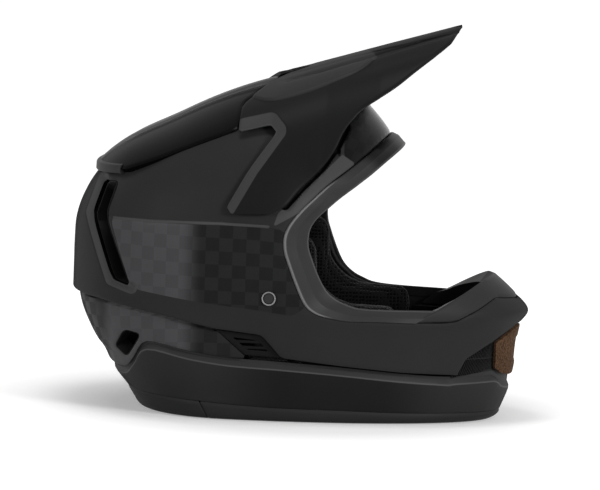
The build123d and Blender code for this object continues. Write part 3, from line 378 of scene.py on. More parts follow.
def vertex_places(mesh):
    """Places of a mesh's vertices, one a row, in metres."""
    places = np.zeros(len(mesh.vertices) * 3)
    mesh.vertices.foreach_get("co", places)
    return places.reshape(-1, 3)


def put_mesh(name, points, quads, triangles=None, extras=None, sharp=38.0):
    """Mesh object from arrays in millimetres, smooth shaded, with float attributes and sharp edges."""
    mesh = bpy.data.meshes.new(name)
    faces = quads.tolist() + ([] if triangles is None else triangles.tolist())
    mesh.from_pydata((points * MM).tolist(), [], faces)
    for key, values in (extras or {}).items():
        layer = mesh.attributes.new(key, "FLOAT", "POINT")
        layer.data.foreach_set("value", np.ascontiguousarray(values, np.float32))
    mesh.validate()
    mesh.polygons.foreach_set("use_smooth", np.ones(len(mesh.polygons), bool))
    mesh.set_sharp_from_angle(angle=math.radians(sharp))
    mesh.update()
    return linked(name, mesh)


def dress(piece, finish, body, slot, *nodes):
    """Gives a new piece its material and its body, and hides the CAD nodes it stands for; slot is not used.
    """
    piece.data.materials.clear()
    piece.data.materials.append(finish)
    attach(piece, body)
    if nodes:
        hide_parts(*nodes)
    return piece


def closed_wall(name, face, back, quads, triangles, data, mirrored=True, sharp=38.0):
    """Solid between two like sheets, mirrored if asked and closed by a rim; both carry the data."""
    if mirrored:
        face, quads, triangles, data, shared = mirror_sheet(face, quads, triangles, data)
        back = np.vstack([back, (back * FLIP)[~shared]])
    count = len(face)
    rim = rim_quads(quads, triangles, count)
    quads = np.vstack([quads, quads[:, ::-1] + count, rim])
    triangles = np.vstack([triangles, triangles[:, ::-1] + count])
    data = {key: np.concatenate([v, v]) for key, v in data.items()}
    return put_mesh(name, np.vstack([face, back]), quads, triangles, data, sharp)


def wall_piece(name, rows, field, lift, depth, spans, rise, extras=None, mirrored=True, roll=0.0,
               roll_width=1.6, level_walls=False):
    """Wall on the outer surface, kept where field is positive in the side view.

    Outer face at lift(points) along the normal, inner face at -depth, closed by a rim. With
    level_walls the normal is turned level, so that flat ends stay flat.
    """
    def facing(turn, number):
        normal = outward(rows, turn, number)
        if level_walls:
            normal = normal * (1, 1, 0)
            normal = normal / np.linalg.norm(normal, axis=-1, keepdims=True)
        return normal

    def amount(measure, base):
        return measure(base) if callable(measure) else np.full(base.shape[:-1], float(measure))

    def outer(turn, number):
        base = oval(rows, turn, number)
        return base + facing(turn, number) * amount(lift, base)[..., None]

    turn, number, quads, triangles = cut_sheet(outer, field, np.linspace(0, math.pi, spans), rise)
    base, direction, face = oval(rows, turn, number), facing(turn, number), outer(turn, number)
    if roll:
        near = 1 - np.clip(field(face) / roll_width, 0, 1)
        face = face - direction * (roll * near * near)[:, None]
    back = base - direction * amount(depth, base)[:, None]
    flat = (np.abs(turn) < 1e-9) | (np.abs(turn - math.pi) < 1e-9)
    face[flat, 1] = back[flat, 1] = 0
    data = {key: make(face, turn, number) for key, make in (extras or {}).items()}
    return closed_wall(name, face, back, quads, triangles, data, mirrored)


def arc_length_tables(rows):
    """Arc lengths of the outer surface: round each oval from its widest point, and up each turn."""
    turns, numbers = np.linspace(0, math.pi, 181), np.linspace(0, len(rows) - 1, 121)
    places = oval(rows, *np.meshgrid(turns, numbers, indexing="ij"))
    round_it = np.cumsum(np.linalg.norm(np.diff(places, axis=0, prepend=places[:1]), axis=-1), 0)
    upward = np.cumsum(np.linalg.norm(np.diff(places, axis=1, prepend=places[:, :1]), axis=-1), 1)
    return turns, numbers, round_it - round_it[90], upward


def sampled(table, turns, numbers, turn, number):
    """Value of an evenly spaced table between its four nearest entries."""
    a = np.clip(turn / turns[-1] * (len(turns) - 1), 0, len(turns) - 1.001)
    b = np.clip(number / numbers[-1] * (len(numbers) - 1), 0, len(numbers) - 1.001)
    i, j = a.astype(int), b.astype(int)
    u, v = a - i, b - j
    return ((1 - u) * (1 - v) * table[i, j] + u * (1 - v) * table[i + 1, j]
            + (1 - u) * v * table[i, j + 1] + u * v * table[i + 1, j + 1])


UPPER_ARCS = arc_length_tables(UPPER_ROWS)
LOWER_ARCS = arc_length_tables(LOWER_ROWS)
PORT = np.vstack([smooth_line(PORT_EDGE), PORT_FLOOR])
COLLAR_LINE = smooth_line(COLLAR_TOP, 4)
REAR_SLOT_LOOP = rounded_loop(REAR_SLOT, 2, 0.12)
LOW_SLOT_LOOP = rounded_loop(LOW_SLOT, 2, 0.15)


def weave_data(arcs):
    """Attributes that carry the checked weave: lengths round and up the surface, in millimetres."""
    turns, numbers, round_it, upward = arcs
    return {"weave_u": lambda p, t, s: sampled(round_it, turns, numbers, t, s),
            "weave_v": lambda p, t, s: sampled(upward, turns, numbers, t, s)}


def zone(loop):
    """Attribute with the signed distance to a side outline, positive inside."""
    return lambda p, t, s: region(loop, p)


def beyond(keep, cutter, p, clear=0.0):
    """Cuts a side outline out of keep on both sides, leaving |y| below clear whole."""
    off = -region(cutter, p)
    if clear:
        off = np.where(np.abs(p[..., 1]) > clear, off, FAR)
    return np.minimum(keep, off)


def shell_keep(p):
    """Signed distance that is positive on the kept part of the outer shell."""
    keep = beyond(over_line(SEAM, p) - 0.5, PORT, p)
    keep = beyond(keep, CHIN_VENT, p)
    keep = beyond(keep, REAR_SLOT_LOOP, p, SLOT_CLEAR)
    for centre, radius in ((PIVOT, 7.3), ((STRAP_X, RIVET_Z), 5.9)):
        keep = np.minimum(keep, off_circle(centre, radius, p))
    return keep


def slot_chamfer(p):
    """Depth of the bevel that runs down to the rear edge of the rear slot."""
    near = 1 - np.clip(path_distance(SLOT_REAR_EDGE, p) / CHAMFER_WIDTH, 0, 1)
    return CHAMFER_DEPTH * near * (p[..., 2] < 190) * (p[..., 0] < -115)


def make_outer_shell(sizes, finish):
    """Crown, cheeks and chin bar, with a chamfer behind each rear slot and a step over the weave."""
    recess = rounded_loop(BROW_SHADOW_RECESS)
    step_height, dent_depth, arm_clear = 1.5, 3.0, 40

    # Painted shadow: the brow recess and a 3.6 mm band along the visor arm's front edge are sunk and painted
    # near black for the shadow gap under the arm
    def hollow(p, *_):
        return np.maximum(region(recess, p), 3.6 - path_distance(ARM_FRONT, p))

    # Painted highlight: a thin line along the crease and a strip along each rear slot's rear edge, painted
    # light in the finish
    def light_edge(p, *_):
        x, z = p[..., 0], p[..., 2]
        line = np.minimum(1.3 - np.abs(over_line(CREASE, p) - 0.4), np.minimum(x + 141, -17 - x))
        strip = np.where((x < -115) & (z < 190), 5.2 - path_distance(SLOT_REAR_EDGE, p), -9)
        return np.where(np.abs(p[..., 1]) > SLOT_CLEAR, np.maximum(line, strip), -9)

    def lift(p):
        x, y, up = p[..., 0], np.abs(p[..., 1]), over_line(CREASE, p)
        along = smooth_step(-150, -140, x) * smooth_step(-5, -25, x)
        above = smooth_step(-0.8, 1.6, up) * smooth_step(50, 6, up)
        dent = smooth_step(0, 1.5, hollow(p)) * (y > arm_clear)
        return -slot_chamfer(p) * (y > SLOT_CLEAR) - step_height * above * along - dent_depth * dent

    extras = dict(weave_data(UPPER_ARCS), weave_zone=zone(rounded_loop(WEAVE_ZONE, 1, 0.1)),
                  forehead_zone=zone(rounded_loop(FOREHEAD_ZONE, 1, 0.15)),
                  temple_zone=zone(TEMPLE_REFLECTION_ZONE), hole_zone=hollow, light_edge=light_edge)
    rise = np.linspace(0, len(UPPER_ROWS) - 1, sizes.shell_levels)
    shell = wall_piece("outer_shell_skin", UPPER_ROWS, shell_keep, lift, sizes.shell_wall / MM,
                       sizes.shell_spans, rise, extras, roll=0.7)
    dress(shell, finish, "helmet", "matte_shell", "outer_shell")


def make_crown_panel(sizes, finish):
    """Gloss cover that stands above the shell and swells into an overhanging lip at the rear."""
    loop = rounded_loop(CROWN_EDGE, 1, 0.06)
    tail = np.array(((-185, 176.5), (-160, 181.5), (-136, 184.6)), float)
    rear_swell, spine_rise = 3.6, 0.8

    def keep(p):
        return region(loop, p)

    def lift(p):
        away = path_distance(tail + (0, 5), p)
        spine = smooth_step(8, 0, np.abs(np.abs(p[..., 1]) - SPINE_Y)) * smooth_step(-150, -120, p[..., 0])
        return sizes.panel_lift / MM + rear_swell * smooth_step(55, 0, away) + spine_rise * spine

    panel = wall_piece("crown_cover", UPPER_ROWS, keep, lift, -0.05, 200,
                       levels(UPPER_ROWS, 172, None, 120),
                       {"spine": lambda p, t, s: np.abs(p[:, 1]) - SPINE_Y}, roll=0.8)
    dress(panel, finish["gloss"], "helmet", "gloss_panel", "crown_panel")

    # The lip follows the line where the tail's outline meets the surface: z settles in four rounds
    turns = np.linspace(0, math.pi, 721)
    z = np.full(len(turns), 180.0)
    for _ in range(4):
        place = oval(UPPER_ROWS, turns, row_number(UPPER_ROWS, z))
        z = np.interp(place[:, 0], tail[:, 0], tail[:, 1])
    behind = place[:, 0] < -134
    place, turns, z = place[behind], turns[behind], z[behind]
    out = outward(UPPER_ROWS, turns, row_number(UPPER_ROWS, z)) * (1, 1, 0)
    out /= np.linalg.norm(out, axis=1)[:, None]
    out[0] = (-1, 0, 0)
    place, out = (np.vstack([v[:0:-1] * FLIP, v]) for v in (place, out))
    up = np.broadcast_to(np.array((0.0, 0, 1)), place.shape)
    profile = ((-2.5, 6.6), (1.8, 6.6), (3.4, 5.6), (3.9, 4.6), (4.0, -0.2), (3.5, -0.8), (-2.5, -0.8))
    points, quads, rows = carried((place, out, up), profile)
    points, triangles = end_caps(points, rows)
    lip = outward_faces(put_mesh("crown_cover_lip", points, quads, triangles, sharp=30))
    dress(lip, finish["trim"], "helmet", "gloss_panel", "crown_panel")


def make_lower_shells(sizes, finish):
    """Neck panel and collar: the lower surface, the collar with an upper facet that leans in."""
    facet_height, facet_lean = 6.3, 0.62

    def neck_keep(p):
        (top_x, top_z), (low_x, low_z) = NECK_END
        end = np.interp(p[..., 2], (low_z, top_z), (low_x, top_x))
        keep = np.minimum(end - p[..., 0], over_line(COLLAR_LINE, p) - 0.25)
        return beyond(keep, LOW_SLOT_LOOP, p, SLOT_CLEAR)

    def under_seam(p):
        return -1.8 * smooth_step(-2.2, -0.6, over_line(SEAM, p))

    neck = wall_piece("neck_cover", LOWER_ROWS, neck_keep, under_seam, sizes.neck_wall / MM, 180,
                      levels(LOWER_ROWS, 30, None, 60), weave_data(LOWER_ARCS), roll=0.5)
    dress(neck, finish["carbon"], "helmet", "matte_shell", "neck_panel")

    def collar_keep(p):
        return np.minimum(over_line(BASE_SEAM, p) - 0.35, -over_line(COLLAR_LINE, p) - 0.15)

    def facet(p, *_):
        return facet_height + 4.5 * smooth_step(110, 165, p[..., 0]) + over_line(COLLAR_LINE, p)

    def lean(p):
        return -facet_lean * np.clip(facet(p), 0, 11) + 0.6 * smooth_step(3.5, 0, over_line(BASE_SEAM, p))

    heights = np.concatenate([np.linspace(6, 30, 12), np.linspace(31.2, 60, 26)])
    collar = wall_piece("collar_skin", LOWER_ROWS, collar_keep, lean, sizes.shell_wall / MM, 260,
                        row_number(LOWER_ROWS, heights), {"facet": facet}, roll=0.5, level_walls=True)
    dress(collar, finish["collar"], "helmet", "matte_shell", "lower_collar")


def make_base_trims(finish):
    """Two lengths of the bottom roll, rounded where it meets the table by a quarter ellipse."""
    foot_radius, half_gap, depth = 4.5, 0.25, 11.0

    def rounding(p):
        foot = np.clip(foot_radius - p[..., 2], 0, foot_radius)
        under = smooth_step(-0.2, -2.5, over_line(BASE_SEAM, p))
        return 0.9 * (under - foot_radius + np.sqrt(foot_radius**2 - foot**2))

    heights = np.array((0, 0.15, 0.5, 1, 1.8, 2.8, 4.2, 5.6, 7, 8.4, 9.8, 11.2, 12.6, 14, 15.4, 17.2))
    for word, side in (("front", 1), ("rear", -1)):
        def keep(p, side=side):
            return np.minimum(-over_line(BASE_SEAM, p), side * region(TRIM_SPLIT, p) - half_gap)
        roll = wall_piece(f"base_roll_{word}", LOWER_ROWS, keep, rounding, depth, 280,
                          row_number(LOWER_ROWS, heights), roll=0.5, level_walls=True)
        dress(roll, finish, "helmet", "black_rubber", f"base_trim_{word}")


def lofted(rings, closed=False):
    """Points, faces and numbers of a surface through closed rings of points, (ring, place, 3)."""
    number = np.arange(rings.shape[0] * rings.shape[1]).reshape(rings.shape[:2])
    rows = np.vstack([number, number[:1]]) if closed else number
    ahead = np.roll(rows, -1, 1)
    quads = np.stack([rows[:-1], ahead[:-1], ahead[1:], rows[1:]], -1).reshape(-1, 4)
    return rings.reshape(-1, 3), quads, number


def carried(frames, profile):
    """Loft of a closed profile with columns a and b along frames: origin + first a + second b."""
    origin, first, second = (v[:, None] for v in frames)
    profile = np.asarray(profile, float)
    return lofted(origin + first * profile[..., :1] + second * profile[..., 1:])


def end_caps(points, number, middles=None):
    """Fans that close both ends of a loft, round the ends' own middles or given ones."""
    if middles is None:
        middles = np.stack([points[number[0]].mean(0), points[number[-1]].mean(0)])
    head, tail = number[0], number[-1]
    triangles = [np.stack([a, b, np.full(len(a), len(points) + k)], 1)
                 for k, (a, b) in enumerate(((np.roll(head, -1), head), (tail, np.roll(tail, -1))))]
    return np.vstack([points, middles]), np.vstack(triangles)


def outward_faces(piece):
    """Merges doubled points and turns all faces outwards."""
    work = bmesh.new()
    work.from_mesh(piece.data)
    bmesh.ops.remove_doubles(work, verts=work.verts, dist=1e-6)
    bmesh.ops.recalc_face_normals(work, faces=work.faces)
    work.to_mesh(piece.data)
    work.free()
    return piece


def make_port_trim(finish):
    """Two-facet gasket: edge + inward (a + b width) + normal c along the port, mirrored at the brow."""
    edge_x, edge_z, lip_x, lip_z = TRIM_STATIONS.T
    depth = half_width_at(edge_x, edge_z)
    depth[0] = 0
    turn, number = side_place(UPPER_ROWS, edge_x, edge_z)
    turn[0] = math.pi
    normal = outward(UPPER_ROWS, turn, number)
    edge = np.stack([edge_x, -depth, edge_z], 1)
    lip = np.stack([lip_x, -depth * (1 - TRIM_INSET), lip_z], 1)
    steps = np.linspace(0, len(edge) - 1, 12 * (len(edge) - 1) + 1)
    edge, lip, normal = (through_rows(v, steps, before=v[1] * FLIP) for v in (edge, lip, normal))
    edge[0, 1] = lip[0, 1] = normal[0, 1] = 0
    run = lip - edge
    width = np.linalg.norm(run, axis=1)
    inward = run / width[:, None]
    normal -= inward * (normal * inward).sum(1)[:, None]
    normal /= np.linalg.norm(normal, axis=1)[:, None]

    # Profile points a, b and c; the ridge between the facets lies at its share of the width
    ridge = 0.47
    shape = ((0.5, 0, -1.5), (0.5, 0, 0.5), (0.8, 0, 1.0), (1.3, 0, 1.25), (-0.6, ridge, 1.55),
             (0.0, ridge, 1.5), (0.6, ridge, 1.1), (-2.2, 1, -0.7), (-0.9, 1, -1.0), (-0.2, 1, -1.6),
             (0, 1, -2.4), (-0.4, 1, -3.0), (-1.2, 1, -3.4), (0, ridge, -3.4), (1.8, 0, -3.2))
    profile = np.stack([np.stack([a + b * width, np.full(len(width), c)], -1) for a, b, c in shape], 1)
    points, quads, rows = carried((edge, inward, normal), profile)
    points, triangles = end_caps(points, rows)
    triangles = triangles[len(rows[0]):]  # the brow end stays open for the mirror image
    points[rows[0], 1] = 0
    across = (-1, 0, 0.4, 1.2, 7, 8, 9, 15, 16.4, 17.2, 18, 19, 20, 21, 22)
    data = {"from_edge": np.concatenate([np.tile(across, len(width)), (20, 20)]),
            "from_brow": np.concatenate([np.repeat(steps, len(across)), (0, 0)])}
    points, quads, triangles, data, _ = mirror_sheet(points, quads, triangles, data)
    trim = put_mesh("port_gasket", points, quads, triangles, data, sharp=24)
    outward_faces(trim)
    dress(trim, finish, "helmet", "black_rubber", "eye_port_trim")


def make_chin_pieces(sizes, finish):
    """Cap, net and vent frame of the chin bar: walls and a sheet on the outer surface.

    The net's wires lean: they are the surface at turn + 0.03 row, moved 3.9 mm in.
    """
    cap_loop = rounded_loop(CHIN_CAP, 1, 0.12)
    cap_drop, wire_thickness = 6.5, 0.6

    def cap_keep(p):
        return region(cap_loop, p) - 0.3

    cap = wall_piece("chin_bar_cap", UPPER_ROWS, cap_keep, 0.25, sizes.cap_depth / MM, 320,
                     levels(UPPER_ROWS, 76, 116, 46), roll=0.9)
    face, back = np.split(vertex_places(cap.data) / MM, 2)
    back[:, 2] -= cap_drop * smooth_step(7, 1, over_line(CHIN_CAP[:6], face))
    cap.data.vertices.foreach_set("co", (np.vstack([face, back]) * MM).ravel())
    dress(cap, finish["trim"], "helmet", "black_plastic", "chin_cap")

    def frame_keep(p):
        return np.minimum(region(VENT_FRAME, p), over_line(COLLAR_LINE, p)) - 0.3

    def sunk(p):
        y, z = p[..., 1], p[..., 2]
        window = np.minimum(np.minimum(20 - np.abs(y), z - 45), 65 - z)
        return 0.6 - 0.9 * smooth_step(0, 1.5, window)

    middle = wall_piece("chin_vent_middle", UPPER_ROWS, frame_keep, sunk, 2.2, 340,
                        levels(UPPER_ROWS, 31, 78, 44), roll=0.4)
    dress(middle, finish["brown"], "helmet", "brown_plastic", "chin_vent_frame")

    def mesh_keep(p):
        return np.minimum(region(CHIN_MESH, p), over_line(COLLAR_LINE, p) + 1.5)

    def net_turn(turn, number):
        return np.minimum(turn + 0.03 * number, math.pi)

    def net_point(turn, number):
        return on_surface(UPPER_ROWS, net_turn(turn, number), number, -3.9)

    turn, number, quads, triangles = cut_sheet(net_point, mesh_keep, np.linspace(2.2, math.pi, 80),
                                               levels(UPPER_ROWS, 31, 80, 6))
    points = net_point(turn, number)
    points[net_turn(turn, number) >= math.pi - 1e-6, 1] = 0
    net = put_mesh("chin_vent_net", *mirror_sheet(points, quads, triangles, {})[:3])
    wires = net.modifiers.new("wires", "WIREFRAME")
    wires.thickness, wires.use_replace, wires.use_even_offset = wire_thickness * MM, True, False
    dress(net, finish["net"], "helmet", "black_plastic", "chin_mesh")
    cloth = wall_piece("chin_vent_filter", UPPER_ROWS, mesh_keep, -4.3, 4.9, 200,
                       levels(UPPER_ROWS, 28, 82, 30))
    dress(cloth, finish["foam"], "helmet", "black_plastic", "chin_mesh")


def slot_bezel(name, loop, rows, side):
    """Ring that lines a slot: surface(outline - out shrink) - normal (sink + chamfer), six times."""
    ahead = np.roll(loop, -1, 0)
    along = ahead - np.roll(loop, 1, 0)
    area = (loop[:, 0] * ahead[:, 1] - ahead[:, 0] * loop[:, 1]).sum()
    out = np.stack([along[:, 1], -along[:, 0]], 1) / np.linalg.norm(along, axis=1)[:, None] * np.sign(area)
    depth = 11.0
    rings = []
    for shrink, sink in ((0.15, 0.9), (0.4, 0.5), (0.7, 0.5), (0.9, 1.0), (1.1, depth), (0.15, depth)):
        flat = np.insert(loop - out * shrink, 1, 0, axis=1)
        turn, number = side_place(rows, flat[:, 0], flat[:, 2])
        rings.append(on_surface(rows, turn, number, -sink - slot_chamfer(flat)))
    points, quads, _ = lofted(np.stack(rings, 1), closed=True)
    return outward_faces(put_mesh(name, points * (1, side, 1), quads))


def make_vent_inserts(finish):
    """Slot bezels and louvre plates on both sides."""
    slots = (("rear", "rear_vent_insert", rounded_loop(REAR_SLOT, 3, 0.12), UPPER_ROWS),
             ("low", "lower_rear_vent", rounded_loop(LOW_SLOT, 3, 0.15), LOWER_ROWS))

    def keep(p):
        plate = region(SIDE_VENT, p)
        gaps = [np.minimum(1.2 - np.abs(p[..., 2] - z), plate - 4.5) for z in (55.8, 60.2, 64.6)]
        return np.minimum(plate - 0.4, -np.max(gaps, axis=0))

    for word, side in (("left", -1), ("right", 1)):
        for slot, node, loop, rows in slots:
            bezel = slot_bezel(f"{slot}_slot_bezel_{word}", loop, rows, side)
            dress(bezel, finish, "helmet", "black_plastic", f"{node}_{word}")
        plate = wall_piece(f"louvre_plate_{word}", LOWER_ROWS, keep, -1.0, 3.0, 420,
                           levels(LOWER_ROWS, 49, 73, 50), mirrored=False, roll=0.3)
        if side < 0:
            plate.data.transform(Matrix.Diagonal((1, -1, 1, 1)))
            plate.data.flip_normals()
        dress(plate, finish, "helmet", "black_plastic", f"side_vent_{word}")


def crown_field(x, y, z):
    """Below 0 inside the outer surface: |x - middle|/reach and |y|/width to their powers, minus 1."""
    _, rear, front, width, middle = row_values(UPPER_ROWS, row_number(UPPER_ROWS, z))
    behind = x < middle
    reach = np.where(behind, middle - rear, front - middle)
    power = np.where(behind, REAR_POWER, FRONT_POWER)
    over = np.where(z > UPPER_ROWS[-1, 0], 9.0, 0.0)
    return ((np.abs(x - middle) / np.maximum(reach, 1e-3)) ** power
            + (np.abs(y) / np.maximum(width, 1e-3)) ** power - 1 + over)


def visor_reach(angle, x, sizes):
    """Distance from the line z = floor to the visor's outer face at an angle of one cross section.

    It is the larger of an arch, (|cos a / half|^2.5 + |sin a / top|^2.5)^(-1/2.5), and the helmet's
    own section, at rest and tilted, with a soft change from one to the other.
    """
    half = np.interp(x, VISOR_ROWS[:, 0], VISOR_ROWS[:, 1])
    ridge_x, ridge_z, ridge_slope = -22.5, 259.9, 0.3144
    top = ridge_z + (x - ridge_x) * ridge_slope - VISOR_FLOOR
    c, s = np.cos(angle), np.sin(angle)
    arch = ((np.abs(c) / half) ** ARCH_POWER + (np.abs(s) / top) ** ARCH_POWER) ** (-1 / ARCH_POWER)
    low, high = np.zeros_like(arch), np.full_like(arch, 150.0)
    travel, soft = math.radians(10), 5.0
    for _ in range(18):  # halving finds the edge of the section within 0.001 mm
        middle = (low + high) / 2
        y, z = middle * c, VISOR_FLOOR + middle * s
        dx, dz = x - PIVOT[0], z - PIVOT[1]
        turned_x = PIVOT[0] + dx * math.cos(travel) - dz * math.sin(travel)
        turned_z = PIVOT[1] + dx * math.sin(travel) + dz * math.cos(travel)
        inside = np.minimum(crown_field(x, y, z), crown_field(turned_x, y, turned_z)) < 0
        low, high = np.where(inside, middle, low), np.where(inside, high, middle)
    body = low + (sizes.visor_gap + sizes.visor_wall) / MM * 1.06
    blend = np.clip(0.5 + 0.5 * (arch - body) / soft, 0, 1)
    return body * (1 - blend) + arch * blend + soft * blend * (1 - blend) * 0.5


def make_visor(sizes, finish):
    """Peak and arms in one wall: y = -r cos a, z = floor + r sin a, cut by its side and nose outlines.

    Chamfers, a raised shoulder leaf, a spine and its grooves are moves along the surface normal.
    """
    side = np.vstack([VISOR_SIDE[:3], smooth_line(VISOR_SIDE[2:14], 4)[1:], VISOR_SIDE[14:]])
    side, leaf = rounded_loop(side, 1, 0.1), rounded_loop(VISOR_LEAF)
    nose_start, nose_length, nose_half = 30, 86.3, 100.0

    def base_point(angle, x):
        reach = visor_reach(angle, x, sizes)
        return np.stack([x, -reach * np.cos(angle), VISOR_FLOOR + reach * np.sin(angle)], -1)

    def direction(angle, x):
        a = base_point(angle + 4e-3, x) - base_point(angle - 4e-3, x)
        b = base_point(angle, x + 0.5) - base_point(angle, x - 0.5)
        normal = np.cross(b, a)
        return normal / np.maximum(np.linalg.norm(normal, axis=-1, keepdims=True), 1e-9)

    def nose(p):
        ahead = np.clip((p[..., 0] - nose_start) / nose_length, 0, 2)
        inside = 1 - (ahead**2.6 + np.clip(np.abs(p[..., 1]) / nose_half, 0, 2) ** 2) ** 0.5
        return np.where(p[..., 0] < nose_start, 40, inside * nose_length)

    def keep(p):
        return np.minimum(region(side, p), nose(p))

    def relief(p):
        x, y, z = p[..., 0], np.abs(p[..., 1]), p[..., 2]
        chamfer = 1 - np.clip(path_distance(VISOR_CHAMFER, p) / RELIEF_WIDTH, 0, 1)
        raised = smooth_step(0, 1.6, region(leaf, p)) * (y > 40)
        spine_edge = 36 - 22 * smooth_step(-20, 112, x)
        groove = np.exp(-(((y - spine_edge - 7) / 5.0) ** 2)) * smooth_step(-23, -5, x)
        under = 262.5 + (x - 10) * 0.335
        hollow = np.exp(-(((z - under) / 7.0) ** 2)) * smooth_step(20, 60, x) * smooth_step(118, 96, x)
        hollow *= y > 20
        return 1.3 * raised - 2.6 * chamfer - 2.2 * groove - 1.6 * hollow, np.maximum(hollow, groove * 0.8)

    angle, x, quads, triangles = cut_sheet(base_point, keep, np.linspace(0.02, math.pi / 2, 190),
                                           np.linspace(-52, 117, 185), hold_ends=(False, True))
    base, normal = base_point(angle, x), direction(angle, x)
    height, shade = relief(base)
    edge = 1 - np.clip(keep(base) / 1.6, 0, 1)
    face = base + normal * (height - 0.6 * edge**2)[:, None]
    back = base - normal * (sizes.visor_wall / MM)
    top = np.abs(angle - math.pi / 2) < 1e-9
    face[top, 1] = back[top, 1] = 0
    # shade is painted shade: the finish paints the groove and the hollow under the leaf near black
    data = {"leaf": region(leaf, base), "chamfer": RELIEF_WIDTH - path_distance(VISOR_CHAMFER, base),
            "shade": shade}
    visor = closed_wall("peaked_visor", face, back, quads[:, ::-1], triangles[:, ::-1], data, sharp=30)
    dress(visor, finish, "visor", "matte_shell", "visor")


def make_foams(sizes, finish):
    """Energy foam in the crown, the neck and the chin bar: thick walls inside the shell."""
    def crown_keep(p):
        keep = np.minimum(p[..., 2] - 92.4, -region(PORT, p) - 1.5)
        keep = beyond(keep, CHEEK, p)
        keep = beyond(keep, REAR_SLOT_LOOP, p, SLOT_CLEAR)
        return np.minimum(keep, off_circle(PIVOT, 7.5, p))

    def neck_keep(p):
        x, z = p[..., 0], p[..., 2]
        keep = np.minimum(np.minimum(z - 17, 87 - z), NECK_FRONT - x)
        return beyond(keep, LOW_SLOT_LOOP, p, SLOT_CLEAR)

    def chin_keep(p):
        return region(CHIN_FOAM, p)

    # Name, rows, field, inset, thickness, spans, levels, roll, its width, whether walls are level
    for name, rows, keep, inset, thick, spans, rise, roll, width, flat in (
            ("crown", UPPER_ROWS, crown_keep, FOAM_INSET, sizes.foam_thickness / MM, 150,
             levels(UPPER_ROWS, 88, None, 90), 1.2, 4, False),
            ("neck", LOWER_ROWS, neck_keep, FOAM_INSET, 16, 150,
             levels(LOWER_ROWS, 14, 90, 40), 1.2, 4, True),
            ("chin", UPPER_ROWS, chin_keep, 4.9, 15, 300,
             levels(UPPER_ROWS, 44, 97, 46), 1.0, 3, True)):
        foam = wall_piece(f"{name}_energy_foam", rows, keep, -inset, inset + thick, spans, rise, roll=roll,
                          roll_width=width, level_walls=flat)
        dress(foam, finish, "helmet", "energy_foam", f"{name}_foam")


def make_liner(sizes, finish):
    """Skull liner, brow pad and neck roll: padded walls whose inner face is quilted into cushions."""
    start = FOAM_INSET + sizes.foam_thickness / MM + 0.3
    thick = sizes.liner_thickness / MM
    brow_loop = rounded_loop(BROW)
    roll_middle, roll_half = 36, 16

    def liner_keep(p):
        keep = np.minimum(p[..., 2] - 112, -region(PORT, p) - 6)
        return beyond(beyond(keep, CHEEK, p), BROW, p) - 1.5

    def quilt(p):
        y = np.abs(p[..., 1])
        seams = np.minimum(np.abs(y - 20), np.abs(y - 62))
        seams = np.minimum(seams, path_distance(((-150, 150), (-60, 176), (20, 176)), p))
        return start + 1.5 + (thick - 2.0) * puffed(seams, 8) * puffed(liner_keep(p), 9)

    liner = wall_piece("skull_liner", UPPER_ROWS, liner_keep, -start, quilt, 230,
                       levels(UPPER_ROWS, 106, None, 120), roll=1.0, roll_width=4)
    dress(liner, finish, "helmet", "black_fabric", "comfort_liner")

    def brow_keep(p):
        return beyond(region(brow_loop, p) - 1.0, PORT, p) - 3

    def brow_depth(p):
        seams = np.abs(np.abs(p[..., 1]) - 26)
        return start + 1.5 + (thick + 1.0) * (0.35 + 0.65 * puffed(seams, 7)) * puffed(brow_keep(p), 10)

    brow = wall_piece("brow_cushion", UPPER_ROWS, brow_keep, -start, brow_depth, 300,
                      levels(UPPER_ROWS, 145, 236, 90), roll=1.2, roll_width=4)
    dress(brow, finish, "helmet", "black_fabric", "brow_pad")

    def roll_level(p):
        return roll_half - np.abs(p[..., 2] - roll_middle)

    def roll_keep(p):
        return np.minimum(roll_level(p), NECK_FRONT - p[..., 0])

    def roll_depth(p):
        end = puffed(NECK_FRONT - p[..., 0], 12)
        return 20 + 12.5 * puffed(roll_level(p), roll_half) * (0.25 + 0.75 * end)

    roll = wall_piece("neck_cushion", LOWER_ROWS, roll_keep, -20.0, roll_depth, 200,
                      levels(LOWER_ROWS, 18, 54, 44), roll=0.5, level_walls=True)
    dress(roll, finish, "helmet", "black_fabric", "neck_roll")


def swollen(piece, voxel, most):
    """Cloth pass: remeshes the pad, lets pressure swell it and caps how far a point may go."""
    scene = bpy.context.scene
    remesh = piece.modifiers.new("even", "REMESH")
    remesh.mode, remesh.voxel_size, remesh.use_smooth_shade = "VOXEL", voxel, True
    start = bpy.data.meshes.new_from_object(piece.evaluated_get(bpy.context.evaluated_depsgraph_get()))
    piece.modifiers.clear()
    piece.data = start
    before = vertex_places(start)
    cloth = piece.modifiers.new("stuffing", "CLOTH")
    cloth.settings.use_pressure = True
    cloth.settings.uniform_pressure_force = 4
    cloth.settings.effector_weights.gravity = 0
    cloth.settings.quality = 5
    cloth.point_cache.frame_start, cloth.point_cache.frame_end = 1, 20
    for number in range(1, 21):
        scene.frame_set(number)
    held = piece.evaluated_get(bpy.context.evaluated_depsgraph_get())
    mesh = bpy.data.meshes.new_from_object(held)
    piece.modifiers.clear()
    scene.frame_set(1)
    move = vertex_places(mesh) - before
    size = np.linalg.norm(move, axis=1, keepdims=True)
    after = before + move * np.minimum(1, most / np.maximum(size, 1e-9))
    mesh.vertices.foreach_set("co", after.ravel())
    piece.data = mesh


def finished_pad(piece, name, side):
    """Copy of a pad on its own side, with one subdivision."""
    mesh = piece.data.copy()
    mesh.vertices.foreach_set("co", (vertex_places(mesh) * (1, side, 1)).ravel())
    if side < 0:
        mesh.flip_normals()
    mesh.polygons.foreach_set("use_smooth", np.ones(len(mesh.polygons), bool))
    pad = linked(name, mesh)
    finer = pad.modifiers.new("finer", "SUBSURF")
    finer.levels = finer.render_levels = 1
    return pad


